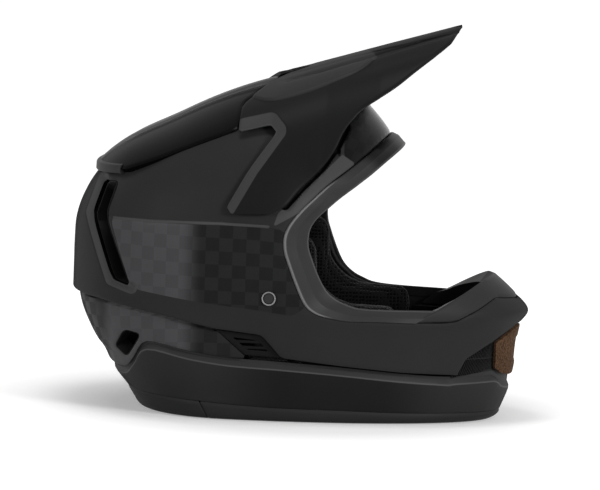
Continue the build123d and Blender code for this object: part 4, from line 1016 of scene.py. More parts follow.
def cheek_solid(name, rings, near, far):
    """Closed solid through rings round the cheek's heart, with fans at y = near and y = far."""
    points, quads, number = lofted(rings)
    middles = [(CHEEK_HEART[0], y, CHEEK_HEART[1]) for y in (near, far)]
    points, triangles = end_caps(points, number, middles)
    return outward_faces(put_mesh(name, points, quads, triangles))


def make_cheek_foams(finish):
    """Cheek foams: rings heart + (outline - heart) s, from a flat face out to the crown foam's inside.

    The outline is the pad's, drawn in by 0.85 in height and 0.64 in front of x = 30.
    """
    x, z = rounded_loop(CHEEK, 3, 0.22).T
    loop = np.column_stack([np.where(x > 30, 30 + (x - 30) * 0.64, x), 72 + (z - 72) * 0.85])
    flat, inset = 80.4, 13.0
    shares = np.array((0.985, 1.0, 1.0, 0.985, 0.8, 0.6, 0.4, 0.2))
    x, z = np.moveaxis(CHEEK_HEART + (loop - CHEEK_HEART) * shares[:, None, None], -1, 0)
    y = np.maximum(half_width_at(x, z) - inset, flat + 2)
    y[0], y[1], y[2] = flat, flat + 1, y[2] - 0.8
    far = half_width_at(*CHEEK_HEART) - inset
    for word, side in SIDES:
        rings = np.stack([x, side * y, z], -1)
        form = cheek_solid(f"cheek_energy_foam_{word}", rings, side * flat, side * far)
        dress(form, finish, f"cheek_{word}", "energy_foam", f"cheek_foam_{word}")


def make_cheek_pads(finish):
    """Cheek pads: rings heart + (outline - heart) s, with y = 70 - 9.5 (1 - s^3.2)^(1/2.6)."""
    loop = rounded_loop(CHEEK, 3, 0.22)
    low, high = 60.5, 79.5
    shares = np.array((0.25, 0.45, 0.62, 0.76, 0.86, 0.93, 0.97))
    crown = 70 - (70 - low) * (1 - shares**3.2) ** (1 / 2.6)
    rings = [np.column_stack([CHEEK_HEART + (loop - CHEEK_HEART) * share, np.full(len(loop), y)])
             for share, y in (*zip(shares, crown), (0.975, 72.0), (0.965, 76.5), (0.93, high))]
    form = cheek_solid("cheek_form", np.stack(rings)[..., [0, 2, 1]], low, high)
    swollen(form, 0.004, 0.004)
    for word, side in SIDES:
        pad = finished_pad(form, f"cheek_cushion_{word}", side)
        dress(pad, finish, f"cheek_{word}", "black_fabric", f"cheek_pad_{word}")
    bpy.data.objects.remove(form)


def strap_line(steps):
    """Middle line of the webbing on the left side, in y and z, with its run directions."""
    inset, bend_z, low_z, floor_z = 9.4, 70.9, 57.8, 27.0
    top, bend, low = (float(half_width_at(STRAP_X, z)) - inset for z in (RIVET_Z, bend_z, low_z))
    drop = low_z - floor_z
    places = ((top, RIVET_Z + 8), (top, RIVET_Z), (top, RIVET_Z - 10), (bend, bend_z), (low, low_z),
              (low * 0.93, floor_z + drop * 0.52), (low * 0.68, floor_z + drop * 0.13),
              (low * 0.42, floor_z), (24.15, floor_z))
    line = through_rows(places, np.linspace(0, len(places) - 1, steps))
    run = np.gradient(line, axis=0)
    return line, run / np.linalg.norm(run, axis=1)[:, None]


def soft_band(name, line, run, side, width, thickness, pillow=False):
    """Band along a line: width / 2 |cos a|^0.35 by thickness / 2 |sin a|^0.35, pillowed if asked."""
    count, around = len(line), 40
    angle = np.linspace(0, 2 * math.pi, around, endpoint=False)
    c, s = np.cos(angle), np.sin(angle)
    swell = np.sqrt(np.clip(1 - np.linspace(-1, 1, count)**8, 0.05, 1)) if pillow else np.ones(count)
    across = np.sign(c) * np.abs(c) ** 0.35 * width / 2
    rise = np.sign(s) * np.abs(s) ** (0.5 if pillow else 0.35)
    profile = np.stack([np.broadcast_to(across, (count, around)), np.outer(thickness / 2 * swell, rise)], -1)
    origin = np.column_stack([np.full(count, STRAP_X), side * line[:, 0], line[:, 1]])
    first = np.broadcast_to(np.array((1.0, 0, 0)), (count, 3))
    second = np.column_stack([np.zeros(count), side * -run[:, 1], run[:, 0]])
    points, quads, rows = carried((origin, first, second), profile)
    points, triangles = end_caps(points, rows)
    length = np.concatenate([[0], np.cumsum(np.linalg.norm(np.diff(line, axis=0), axis=1))])
    lengths = np.concatenate([np.repeat(length, around), length[[0, -1]]])
    return outward_faces(put_mesh(name, points, quads, triangles, {"run": lengths}, sharp=50))


def make_straps(finish):
    """Chin strap webbing, 20 by 1.6 mm, and its padded sleeves on both sides."""
    line, run = strap_line(121)
    part = slice(62, 100)
    for word, side in SIDES:
        web = soft_band(f"webbing_{word}", line, run, side, 20.0, 1.6)
        dress(web, finish["webbing"], "strap", "black_fabric", f"chin_strap_{word}")
        pad = soft_band(f"jaw_sleeve_{word}", line[part], run[part], side, 30.0, 5.6, pillow=True)
        dress(pad, finish["fabric"], "strap", "black_fabric", f"jaw_pad_{word}")


def make_rivets(finish):
    """Strap rivets: x = r cos a, y = width + h, z = r sin a over a profile of cap, shank and head."""
    outer = float(half_width_at(STRAP_X, RIVET_Z))
    spans, cap_end = 48, -1.25
    profile = np.array(((0, -0.9), (3.6, -0.9), (4.1, -0.3), (4.4, 0.3), (4.8, 0.6), (5.2, 0.5), (5.5, 0.05),
                        (5.6, -1.2), (2.5, -1.3), (2.5, -10.3), (5.0, -10.4), (5.0, -11.4), (4.4, -11.8),
                        (0, -11.8)))
    angle = np.linspace(0, 2 * math.pi, spans, endpoint=False)
    radius, height = profile[:, :1], profile[:, 1:]
    ring = {"ring": np.repeat(radius - 10 * (height < cap_end), spans)}
    for word, side in SIDES:
        places = (STRAP_X + radius * np.cos(angle), side * (outer + height), RIVET_Z + radius * np.sin(angle))
        points, quads, _ = lofted(np.stack(np.broadcast_arrays(*places), -1))
        rivet = outward_faces(put_mesh(f"rivet_{word}", points, quads, extras=ring, sharp=30))
        dress(rivet, finish, "helmet", "dark_metal", f"strap_rivet_{word}")


CARRIED_FINISHES = {
    "plastic": ("visor_socket_left", "visor_socket_right", "visor_screw_insert", "visor_tongue",
                "visor_stud_left", "visor_stud_right", "cheek_posts", "buckle_housing",
                "strap_spacer_left", "strap_spacer_right", "ratchet_tongue", "buckle_lever"),
    "metal": ("visor_screw", "lever_pin"),
}


def dress_hardware(finishes):
    """Gives the CAD nodes that stay their finishes."""
    for key, nodes in CARRIED_FINISHES.items():
        for node in nodes:
            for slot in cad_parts[node].material_slots:
                slot.material = finishes[key]


# Finishes

def linear(code):
    """Linear values of an sRGB hex colour."""
    shares = [int(code[k:k + 2], 16) / 255 for k in (0, 2, 4)]
    return tuple(s / 12.92 if s <= 0.04045 else ((s + 0.055) / 1.055) ** 2.4 for s in shares)


# Painted shade: near-black tones that stand in for shade under the visor, in gaps, hollows, holes and grooves
SHADE, PAINTED_PIT_SHADE, GROOVE_SHADE = linear("070707"), linear("030303"), linear("020202")


def tint(colour, factor):
    """A colour made lighter or darker."""
    return [c * factor for c in colour[:3]]


def per(size):
    """Texture scale of a pattern whose cells are size millimetres wide."""
    return 1 / (size * MM)


def wire(tree, target, inputs):
    """Gives a node's inputs, by name or in order, plain values or other nodes' outputs."""
    for key, value in inputs.items() if isinstance(inputs, dict) else enumerate(inputs):
        socket = target.inputs[key]
        if isinstance(value, bpy.types.NodeSocket):
            tree.links.new(value, socket)
        else:
            socket.default_value = (*value[:3], 1) if socket.type == "RGBA" else value


def add(tree, kind, inputs=(), out=0, **settings):
    """Adds a node with its settings and links, and returns one of its outputs."""
    made = tree.nodes.new("ShaderNode" + kind)
    for key, value in settings.items():
        setattr(made, key, value)
    wire(tree, made, inputs)
    return made.outputs[out] if made.outputs else made


# Settings of the Map Range, Math and Mix nodes that the finishes share
SMOOTH = {"interpolation_type": "SMOOTHSTEP"}
COLOUR = {"data_type": "RGBA"}
TIMES, LESS = {"operation": "MULTIPLY"}, {"operation": "SUBTRACT"}
SIZE, WAVE, MORE = {"operation": "ABSOLUTE"}, {"operation": "SINE"}, {"operation": "MAXIMUM"}
TIMES_PLUS = {"operation": "MULTIPLY_ADD"}


def shader(name, colour, roughness, specular=0.5):
    """A new material, its tree and its Principled shader with plain values."""
    made = bpy.data.materials.new(name)
    made.use_nodes = True
    main = made.node_tree.nodes["Principled BSDF"]
    wire(made.node_tree, main, {"Base Color": colour, "Roughness": roughness,
                                "Specular IOR Level": specular})
    return made, made.node_tree, main


def moulded_grain(tree, main, colour, spread=0.25, distance=0.03 * MM, width=1.11):
    """Spark-eroded mould grain of a width in millimetres, with clouds of 71 mm in the tone."""
    place = add(tree, "TexCoord", out="Object")
    fine = add(tree, "TexNoise", {"Vector": place, "Scale": per(width)}, "Fac")
    clouds = add(tree, "TexNoise", {"Vector": place, "Scale": per(71.4), "Detail": 4}, "Fac")
    tone = add(tree, "Mix", {0: clouds, 6: tint(colour, 1 - spread), 7: tint(colour, 1 + spread)}, 2,
               **COLOUR)
    bump = add(tree, "Bump", {"Height": fine, "Distance": distance})
    wire(tree, main, {"Normal": bump})
    return tone, bump


def faded_gloss(tree, main, level, clear=0.0, clear_level=0.0):
    """Gloss that fades towards the outline, where a white room would wash a dark finish out.

    Where the clear mask is 1 the lacquer keeps clear_level at every angle.
    """
    facing = add(tree, "LayerWeight", {"Blend": 0.5}, "Facing")
    faded = add(tree, "Math", (add(tree, "MapRange", (facing, 0.5, 0.85, 1.0, 0.05)), level), **TIMES)
    wire(tree, main, {"Specular IOR Level": add(tree, "Mix", {0: clear, 2: faded, 3: clear_level})})


def checked_weave(tree, sizes, dark, light):
    """Carbon cloth under lacquer, from the arc-length attributes: plain squares crossed by threads.

    A thread is drawn 1.3 mm wide, where the real one of 0.1 mm would not show. The rear of the
    side is painted paler: a painted reflection of the room in the lacquer.
    """
    u, v = (add(tree, "Attribute", out="Fac", attribute_name=name) for name in ("weave_u", "weave_v"))
    place = add(tree, "CombineXYZ", (u, v, 0.3))
    squares = add(tree, "TexChecker", {"Vector": place, "Scale": MM / sizes.weave_square}, "Fac")
    waves = [add(tree, "Math", (add(tree, "Math", (way, 2 * math.pi / 1.3), **TIMES),), **WAVE)
             for way in (u, v)]
    threads = add(tree, "Mix", {0: squares, 2: waves[0], 3: waves[1]})
    long_place = add(tree, "Mapping", {"Vector": place, "Scale": (0.11, 0.05, 1)})
    blot = add(tree, "TexNoise", {"Vector": long_place, "Scale": 1.0, "Detail": 3}, "Fac")
    share = add(tree, "Math", (squares, 0.75, add(tree, "Math", (blot, 0.4), **TIMES)), use_clamp=True,
                **TIMES_PLUS)
    tone = add(tree, "Mix", {0: share, 6: dark, 7: light}, 2, **COLOUR)
    # Painted reflection: between x = -149 and -68 mm the weave is painted paler, up to four times its light
    # tone
    across = add(tree, "SeparateXYZ", (add(tree, "TexCoord", out="Object"),))
    rear = add(tree, "Math", (add(tree, "MapRange", (across, -0.068, -0.086), **SMOOTH),
                              add(tree, "MapRange", (across, -0.149, -0.139), **SMOOTH)), **TIMES)
    lighter = add(tree, "Math", (share, 0.2, 0.75), **TIMES_PLUS)
    pale = add(tree, "Mix", {0: lighter, 6: dark, 7: tint(light, 4)}, 2, **COLOUR)
    tone = add(tree, "Mix", {0: rear, 6: tone, 7: pale}, 2, **COLOUR)
    rough = add(tree, "MapRange", {"Value": squares, "To Min": 0.34, "To Max": 0.5})
    return tone, rough, threads


def shell_finish(colours, sizes):
    """Matte lacquer on moulded fibre; it lies clear over the weave on the temple and the forehead."""
    made, tree, main = shader("matte lacquered fibre", colours.shell, 0.45, 0.04)
    tone, grain = moulded_grain(tree, main, colours.shell)
    weave, rough, threads = checked_weave(tree, sizes, colours.weave_dark, colours.weave_light)
    masks = {}
    for name, width in (("weave_zone", 0.5), ("forehead_zone", 0.5), ("temple_zone", 0.6),
                        ("light_edge", 0.6), ("hole_zone", 0.4)):
        signed = add(tree, "Attribute", out="Fac", attribute_name=name)
        masks[name] = add(tree, "MapRange", (signed, 0, width), **SMOOTH)
    brow = masks["forehead_zone"]
    woven = add(tree, "Math", (masks["weave_zone"], brow), **MORE)
    # Painted shade: the forehead under the visor is the weave taken 0.6 of the way to SHADE
    shaded = add(tree, "Mix", {0: 0.6, 6: weave, 7: SHADE}, 2, **COLOUR)
    # Layers: the weave is the real pattern; the temple zone and the edge mask lay painted highlight and
    # reflection, and the gap mask lays painted shadow
    for mask, colour in ((woven, weave), (brow, shaded), (masks["temple_zone"], colours.strip),
                         (masks["light_edge"], colours.strip), (masks["hole_zone"], PAINTED_PIT_SHADE)):
        tone = add(tree, "Mix", {0: mask, 6: tone, 7: colour}, 2, **COLOUR)
    rough = add(tree, "Mix", {0: brow, 2: rough, 3: 0.15})
    raised = add(tree, "Math", (threads, woven), **TIMES)
    bump = add(tree, "Bump", {"Height": raised, "Distance": 0.02 * MM, "Strength": 0.6, "Normal": grain})
    wire(tree, main, {"Base Color": tone, "Normal": bump,
                      "Roughness": add(tree, "Mix", {0: woven, 2: 0.5, 3: rough})})
    faded_gloss(tree, main, 0.04, brow, 0.05)
    return made


def collar_finish(colours):
    """Matte lacquer with painted light: a painted highlight on the upper facet, a fine painted highlight line
    under it and painted shade on the side.
    """
    made, tree, main = shader("matte lacquered collar", colours.shell, 0.42, 0.06)
    faded_gloss(tree, main, 0.06)
    tone, _ = moulded_grain(tree, main, colours.shell)
    facet = add(tree, "Attribute", out="Fac", attribute_name="facet")
    across = add(tree, "SeparateXYZ", (add(tree, "TexCoord", out="Object"),))
    # Mask of the painted shade on the middle of the side, below the facet
    low = add(tree, "MapRange", (facet, 0, -0.6), **SMOOTH)
    for start, end in ((-0.07, 0.0), (0.13, 0.07)):
        low = add(tree, "Math", (low, add(tree, "MapRange", (across, start, end), **SMOOTH)), **TIMES)
    line = add(tree, "MapRange", (add(tree, "Math", (facet,), **SIZE), 0.8, 0.3), **SMOOTH)
    # Painted light: the facet 1.35 times lighter, shade 0.6 towards SHADE on the side's middle, a line three
    # times lighter at the facet's edge
    for mask, colour in ((add(tree, "MapRange", (facet, 0, 0.6), **SMOOTH), tint(colours.shell, 1.35)),
                         (add(tree, "Math", (low, 0.6), **TIMES), SHADE),
                         (line, tint(colours.shell, 3))):
        tone = add(tree, "Mix", {0: mask, 6: tone, 7: colour}, 2, **COLOUR)
    wire(tree, main, {"Base Color": tone})
    return made


def carbon_finish(colours, sizes):
    """Carbon cloth under satin lacquer all over, for the neck panel."""
    made, tree, main = shader("lacquered carbon cloth", colours.shell, 0.36, 0.06)
    faded_gloss(tree, main, 0.06)
    # The weave brings its painted reflection, a paler rear, to the neck panel too
    weave, rough, threads = checked_weave(tree, sizes, colours.weave_dark, colours.weave_light)
    bump = add(tree, "Bump", {"Height": threads, "Distance": 0.02 * MM, "Strength": 0.6})
    wire(tree, main, {"Base Color": weave, "Roughness": rough, "Normal": bump})
    return made


def plain_finish(name, colour, roughness, specular=0.05, grain=0.03 * MM, width=1.11):
    """Moulded plastic or rubber: grain in the height, clouds in the tone and the roughness."""
    made, tree, main = shader(name, colour, roughness, specular)
    tone, _ = moulded_grain(tree, main, colour, 0.2, grain, width)
    place = add(tree, "TexCoord", out="Object")
    wear = add(tree, "TexNoise", {"Vector": place, "Scale": per(25), "Detail": 3}, "Fac")
    rough = add(tree, "MapRange", {"Value": wear, "To Min": roughness - 0.06, "To Max": roughness + 0.06})
    wire(tree, main, {"Base Color": tone, "Roughness": rough})
    return made


def gloss_finish(colours):
    """Polished ABS cover: deep tone, slight orange peel and two fine grooves along the spine, bumped and
    painted near black as painted shade.
    """
    made, tree, main = shader("polished ABS", colours.gloss, 0.2, 0.03)
    faded_gloss(tree, main, 0.03)
    place = add(tree, "TexCoord", out="Object")
    peel = add(tree, "Bump", {"Height": add(tree, "TexNoise", {"Vector": place, "Scale": per(3.85)}, "Fac"),
                              "Distance": 0.015 * MM})
    spine = add(tree, "Attribute", out="Fac", attribute_name="spine")
    line = add(tree, "Math", (add(tree, "Math", (spine,), **SIZE), 2.0), **LESS)
    cut = add(tree, "MapRange", (add(tree, "Math", (line,), **SIZE), 0.35, 0.9), **SMOOTH)
    groove = add(tree, "Bump", {"Height": cut, "Distance": 0.5 * MM, "Normal": peel})
    # Painted shade in the two grooves
    tone = add(tree, "Mix", {0: cut, 6: GROOVE_SHADE, 7: colours.gloss}, 2, **COLOUR)
    long_place = add(tree, "Mapping", {"Vector": place, "Scale": (1, 4, 4)})
    streak = add(tree, "TexNoise", {"Vector": long_place, "Scale": per(111), "Detail": 3}, "Fac")
    rough = add(tree, "MapRange", {"Value": streak, "To Min": 0.16, "To Max": 0.27})
    wire(tree, main, {"Base Color": tone, "Roughness": rough, "Normal": groove})
    return made


def visor_finish(colours):
    """Satin moulded ABS: the shoulder leaf and the chamfers are painted lighter as painted highlights; the
    groove and the hollow under the leaf get painted shade.
    """
    made, tree, main = shader("satin moulded ABS", colours.visor, 0.4, 0.04)
    faded_gloss(tree, main, 0.04)
    tone, _ = moulded_grain(tree, main, colours.visor, 0.15)
    shade, leaf, chamfer = (add(tree, "Attribute", out="Fac", attribute_name=name)
                            for name in ("shade", "leaf", "chamfer"))
    # Painted light: shade in the groove and hollow, highlights on the leaf and the chamfers
    for mask, colour in ((shade, PAINTED_PIT_SHADE),
                         (add(tree, "MapRange", (leaf, 0, 0.8), **SMOOTH), tint(colours.visor, 3)),
                         (add(tree, "MapRange", (chamfer, 0, 0.6), **SMOOTH), tint(colours.visor, 4.8))):
        tone = add(tree, "Mix", {0: mask, 6: tone, 7: colour}, 2, **COLOUR)
    wire(tree, main, {"Base Color": tone})
    return made


def gasket_finish(colours):
    """Moulded rubber: satin facets, a painted highlight on the outer edge beside the temple and on the lip,
    painted shade near black beside the brow.
    """
    made, tree, main = shader("moulded gasket rubber", colours.trim, 0.42, 0.1)
    tone, _ = moulded_grain(tree, main, colours.trim, 0.15)
    from_edge, from_brow = (add(tree, "Attribute", out="Fac", attribute_name=name)
                            for name in ("from_edge", "from_brow"))
    along = add(tree, "SeparateXYZ", (add(tree, "TexCoord", out="Object"),))
    # Painted highlight along the outer edge beside the temple and, fainter, along the lip
    edge = add(tree, "Math", (add(tree, "MapRange", (from_edge, 2.1, 1.2), **SMOOTH),
                              add(tree, "MapRange", (along, 0.034, 0.022), **SMOOTH)), **TIMES)
    lip = add(tree, "Math", (add(tree, "Math", (from_edge, 16.2), **LESS),), **SIZE)
    lip = add(tree, "Math", (add(tree, "MapRange", (lip, 0.9, 0.2), **SMOOTH), 0.3), **TIMES)
    # Painted shade near the brow end, painted highlight on the edges
    for mask, factor in ((add(tree, "MapRange", (from_brow, 3.9, 3.0), **SMOOTH), 0.12),
                         (add(tree, "Math", (edge, lip), **MORE), 6)):
        tone = add(tree, "Mix", {0: mask, 6: tone, 7: tint(colours.trim, factor)}, 2, **COLOUR)
    wire(tree, main, {"Base Color": tone})
    return made


def brown_finish(colours):
    """Cork-like felt: specks of 1.4 mm over clouds of 17 mm, and a matted height."""
    made, tree, main = shader("speckled cork felt", colours.brown, 0.85, 0.08)
    place = add(tree, "TexCoord", out="Object")
    speck = add(tree, "TexNoise", {"Vector": place, "Scale": per(1.43), "Detail": 4}, "Fac")
    cloud = add(tree, "TexNoise", {"Vector": place, "Scale": per(16.7), "Detail": 3}, "Fac")
    light = add(tree, "MapRange", (speck, 0.38, 0.62), **SMOOTH)
    tone = add(tree, "Mix", {0: light, 6: tint(colours.brown, 0.5), 7: tint(colours.brown, 1.55)}, 2,
               **COLOUR)
    worn = add(tree, "Math", (cloud, 0.5), **TIMES)
    tone = add(tree, "Mix", {0: worn, 6: tone, 7: tint(colours.brown, 0.6)}, 2, **COLOUR)
    wire(tree, main, {"Base Color": tone,
                      "Normal": add(tree, "Bump", {"Height": speck, "Distance": 0.2 * MM})})
    return made


def foam_finish(colours):
    """Expanded polystyrene: beads of 4 mm with darker seams between them."""
    made, tree, main = shader("expanded polystyrene", colours.foam, 0.8, 0.06)
    cells = add(tree, "TexVoronoi", {"Vector": add(tree, "TexCoord", out="Object"), "Scale": per(4.17)},
                "Distance", feature="DISTANCE_TO_EDGE")
    bead = add(tree, "MapRange", (cells, 0.0, 0.12), **SMOOTH)
    tone = add(tree, "Mix", {0: bead, 6: tint(colours.foam, 0.4), 7: colours.foam}, 2, **COLOUR)
    wire(tree, main, {"Base Color": tone,
                      "Normal": add(tree, "Bump", {"Height": bead, "Distance": 0.25 * MM})})
    return made


def fabric_finish(colours):
    """Spacer mesh: round holes in a staggered net of 2.6 mm, painted near black as painted shade in them,
    with sheen on the threads.
    """
    made, tree, main = shader("polyester spacer mesh", colours.fabric, 0.9, 0.03)
    place = add(tree, "TexCoord", out="Object")
    low_place = add(tree, "Mapping", {"Vector": place, "Scale": (1, 0.6, 1)})
    cells = add(tree, "TexVoronoi", {"Vector": low_place, "Scale": per(2.63), "Randomness": 0.25}, "Distance")
    thread = add(tree, "MapRange", (cells, 0.3, 0.55), **SMOOTH)
    cloud = add(tree, "TexNoise", {"Vector": place, "Scale": per(33.3)}, "Fac")
    light = add(tree, "Mix", {0: cloud, 6: colours.fabric, 7: tint(colours.fabric, 1.5)}, 2, **COLOUR)
    # Painted shade in the holes between the threads
    tone = add(tree, "Mix", {0: thread, 6: PAINTED_PIT_SHADE, 7: light}, 2, **COLOUR)
    wire(tree, main, {"Base Color": tone, "Sheen Weight": 0.1, "Sheen Roughness": 0.5,
                      "Normal": add(tree, "Bump", {"Height": thread, "Distance": 0.6 * MM})})
    return made


def webbing_finish(colours):
    """Polyester webbing: ribs of 1.6 mm across the run, offset from thread to thread."""
    made, tree, main = shader("polyester webbing", colours.strap, 0.75, 0.1)
    across = add(tree, "SeparateXYZ", (add(tree, "TexCoord", out="Object"),))
    run = add(tree, "Attribute", out="Fac", attribute_name="run")
    rib, thread = (add(tree, "Math", (add(tree, "Math", (way, 2 * math.pi / pitch), **TIMES),), **WAVE)
                   for way, pitch in ((run, 1.6), (across, 0.0016)))
    weave = add(tree, "Math", (add(tree, "Math", (rib, thread), **TIMES), 0.5, 0.5), **TIMES_PLUS)
    tone = add(tree, "Mix", {0: weave, 6: tint(colours.strap, 0.5), 7: tint(colours.strap, 1.6)}, 2, **COLOUR)
    wire(tree, main, {"Base Color": tone,
                      "Normal": add(tree, "Bump", {"Height": weave, "Distance": 0.2 * MM})})
    return made


def rivet_finish(colours):
    """Black cap with a fine polished ring."""
    made, tree, main = shader("ringed rivet cap", colours.plastic, 0.35, 0.3)
    away = add(tree, "Math", (add(tree, "Attribute", out="Fac", attribute_name="ring"), 4.9), **LESS)
    ring = add(tree, "MapRange", (add(tree, "Math", (away,), **SIZE), 0.75, 0.35), **SMOOTH)
    wear = add(tree, "TexNoise", {"Vector": add(tree, "TexCoord", out="Object"), "Scale": per(1.11)}, "Fac")
    light = add(tree, "Mix", {0: wear, 6: linear("7C7C7C"), 7: linear("959595")}, 2, **COLOUR)
    tone = add(tree, "Mix", {0: ring, 6: colours.plastic, 7: light}, 2, **COLOUR)
    wire(tree, main, {"Base Color": tone,
                      "Normal": add(tree, "Bump", {"Height": wear, "Distance": 0.02 * MM})})
    return made


def metal_finish(colours):
    """Black anodised aluminium with fine turning marks."""
    made, tree, main = shader("anodised aluminium", colours.metal, 0.35, 0.5)
    long_place = add(tree, "Mapping", {"Vector": add(tree, "TexCoord", out="Object"), "Scale": (1, 30, 1)})
    marks = add(tree, "TexNoise", {"Vector": long_place, "Scale": per(3.33), "Detail": 3}, "Fac")
    wire(tree, main, {"Metallic": 0.9,
                      "Roughness": add(tree, "MapRange", {"Value": marks, "To Min": 0.28, "To Max": 0.45}),
                      "Normal": add(tree, "Bump", {"Height": marks, "Distance": 0.02 * MM})})
    return made


FINISHES = {}


def finishes_for(context):
    """All finishes, made once and kept by name."""
    if not FINISHES:
        colours, sizes = context.scene.helmet_colours, context.scene.helmet_sizes
        FINISHES.update(
            shell=shell_finish(colours, sizes), carbon=carbon_finish(colours, sizes),
            gloss=gloss_finish(colours), visor=visor_finish(colours), brown=brown_finish(colours),
            trim=plain_finish("satin moulded nylon", colours.trim, 0.48), gasket=gasket_finish(colours),
            collar=collar_finish(colours),
            rubber=plain_finish("soft moulded rubber", colours.rubber, 0.55, 0.05, 0.05 * MM, 1.67),
            plastic=plain_finish("black moulded nylon", colours.plastic, 0.5),
            net=plain_finish("moulded nylon net", colours.trim, 0.6, 0.1), foam=foam_finish(colours),
            fabric=fabric_finish(colours), webbing=webbing_finish(colours), metal=metal_finish(colours),
            rivet=rivet_finish(colours))
    return FINISHES


def make_camera():
    """Camera on the photograph's line of sight: long lens, a little above and behind the side view."""
    azimuth, elevation, roll = math.radians(4), math.radians(6.5), math.radians(2.2)
    back = Vector((math.sin(azimuth) * math.cos(elevation), -math.cos(azimuth) * math.cos(elevation),
                   math.sin(elevation)))
    right = Vector((math.cos(azimuth), math.sin(azimuth), 0))
    up = back.cross(right)
    side = right * math.cos(roll) + up * math.sin(roll)
    rise = up * math.cos(roll) - right * math.sin(roll)
    pixel, lens, sensor, width = 0.000775, 600.0, 36.0, 600
    centre, origin = (300, 245), (296.4, 407.7)
    middle = side * ((centre[0] - origin[0]) * pixel) + rise * ((origin[1] - centre[1]) * pixel)
    camera = linked("photo_camera", bpy.data.cameras.new("photo_camera"))
    camera.data.lens, camera.data.sensor_width = lens, sensor
    camera.data.clip_start, camera.data.clip_end = 0.05, 60
    turn = np.array([side, rise, back]).T
    camera.matrix_world = Matrix([[*turn[0], 0], [*turn[1], 0], [*turn[2], 0], [0, 0, 0, 1]])
    camera.location = middle + back * (width * pixel * lens / sensor)
    bpy.context.scene.camera = camera


def make_light(name, place, size, power):
    """Soft square lamp at place that faces the helmet's middle."""
    lamp = linked(name, bpy.data.lights.new(name, "AREA"))
    lamp.data.shape, lamp.data.size, lamp.data.energy = "SQUARE", size, power
    lamp.location = place
    lamp.rotation_mode = "QUATERNION"
    lamp.rotation_quaternion = (Vector(place) - Vector((0, 0, 0.15))).to_track_quat("Z", "Y")


def seen_rays(tree):
    """1 for rays of the camera, of gloss and through glass, 0 for diffuse light."""
    camera, gloss, through = (add(tree, "LightPath", out=f"Is {kind} Ray")
                              for kind in ("Camera", "Glossy", "Transmission"))
    return add(tree, "Math", (add(tree, "Math", (camera, gloss), **MORE), through), **MORE)


def make_stage():
    """Pale floor with a painted shadow round the helmet, white surroundings for the camera and for gloss, and
    three soft lamps.
    """
    scene = bpy.context.scene
    scene.view_settings.view_transform = "Standard"
    scene.world = scene.world or bpy.data.worlds.new("studio")
    scene.world.use_nodes = True
    tree = scene.world.node_tree
    tree.nodes.clear()
    white = linear("FFFFFF")
    soft, bright = (add(tree, "Background", {"Color": white, "Strength": level}) for level in (0.2, 1.0))
    wire(tree, add(tree, "OutputWorld"), {"Surface": add(tree, "MixShader", (seen_rays(tree), soft, bright))})
    mesh = bpy.data.meshes.new("floor")
    mesh.from_pydata([(x, y, -0.0004) for x, y in ((-30, -30), (30, -30), (30, 30), (-30, 30))], [],
                     [(0, 1, 2, 3)])
    pale, tree, main = shader("pale floor", linear("E7E7E7"), 0.9, 0.1)
    away = add(tree, "VectorMath", (add(tree, "TexCoord", out="Object"),), "Value", operation="LENGTH")
    # Painted shadow: the floor's glow for the camera drops from 0.86 beyond 0.31 m to 0.26 within 0.14 m of
    # the middle, deepening the real shadow round the helmet
    level = add(tree, "MapRange", (away, 0.14, 0.31, 0.26, 0.86))
    strength = add(tree, "Math", (seen_rays(tree), level), **TIMES)
    glow = add(tree, "Emission", {"Color": white, "Strength": strength})
    wire(tree, tree.nodes["Material Output"],
         {"Surface": add(tree, "AddShader", (main.outputs[0], glow))})
    mesh.materials.append(pale)
    linked("floor", mesh)
    make_light("top_softbox", (-0.05, -0.2, 1.25), 0.3, 3.5)
    make_light("front_softbox", (1.15, -0.95, 0.6), 0.4, 15)
    make_light("rear_softbox", (-1.2, -1.0, 0.4), 0.4, 7.5)


def length_setting(name, default, description):
    return bpy.props.FloatProperty(name=name, default=default, description=description, unit="LENGTH",
                                   precision=4, min=0)


def count_setting(name, default, description):
    return bpy.props.IntProperty(name=name, default=default, description=description, min=8)


def colour_setting(name, default, description):
    return bpy.props.FloatVectorProperty(name=name, default=default, description=description,
                                         subtype="COLOR", size=3, min=0, max=1)


class HelmetSizes(bpy.types.PropertyGroup):
    """Lengths that a user may change"""
    shell_wall: length_setting("Shell wall", 0.003, "Thickness of the shell and the collar")
    neck_wall: length_setting("Neck wall", 0.0026, "Thickness of the neck panel")
    panel_lift: length_setting("Cover lift", 0.0015, "Height of the gloss cover above the shell")
    cap_depth: length_setting("Cap depth", 0.012, "Depth of the chin cap, front to rear")
    visor_gap: length_setting("Visor gap", 0.002, "Air between the shell and the visor")
    visor_wall: length_setting("Visor wall", 0.0024, "Thickness of the visor")
    foam_thickness: length_setting("Foam thickness", 0.024, "Thickness of the crown's energy foam")
    liner_thickness: length_setting("Liner thickness", 0.008, "Thickness of the skull liner")
    weave_square: length_setting("Weave square", 0.0104, "Side of one square of the checked weave")
    shell_spans: count_setting("Shell spans", 241, "Grid columns of half the shell")
    shell_levels: count_setting("Shell levels", 164, "Grid rows of the shell")


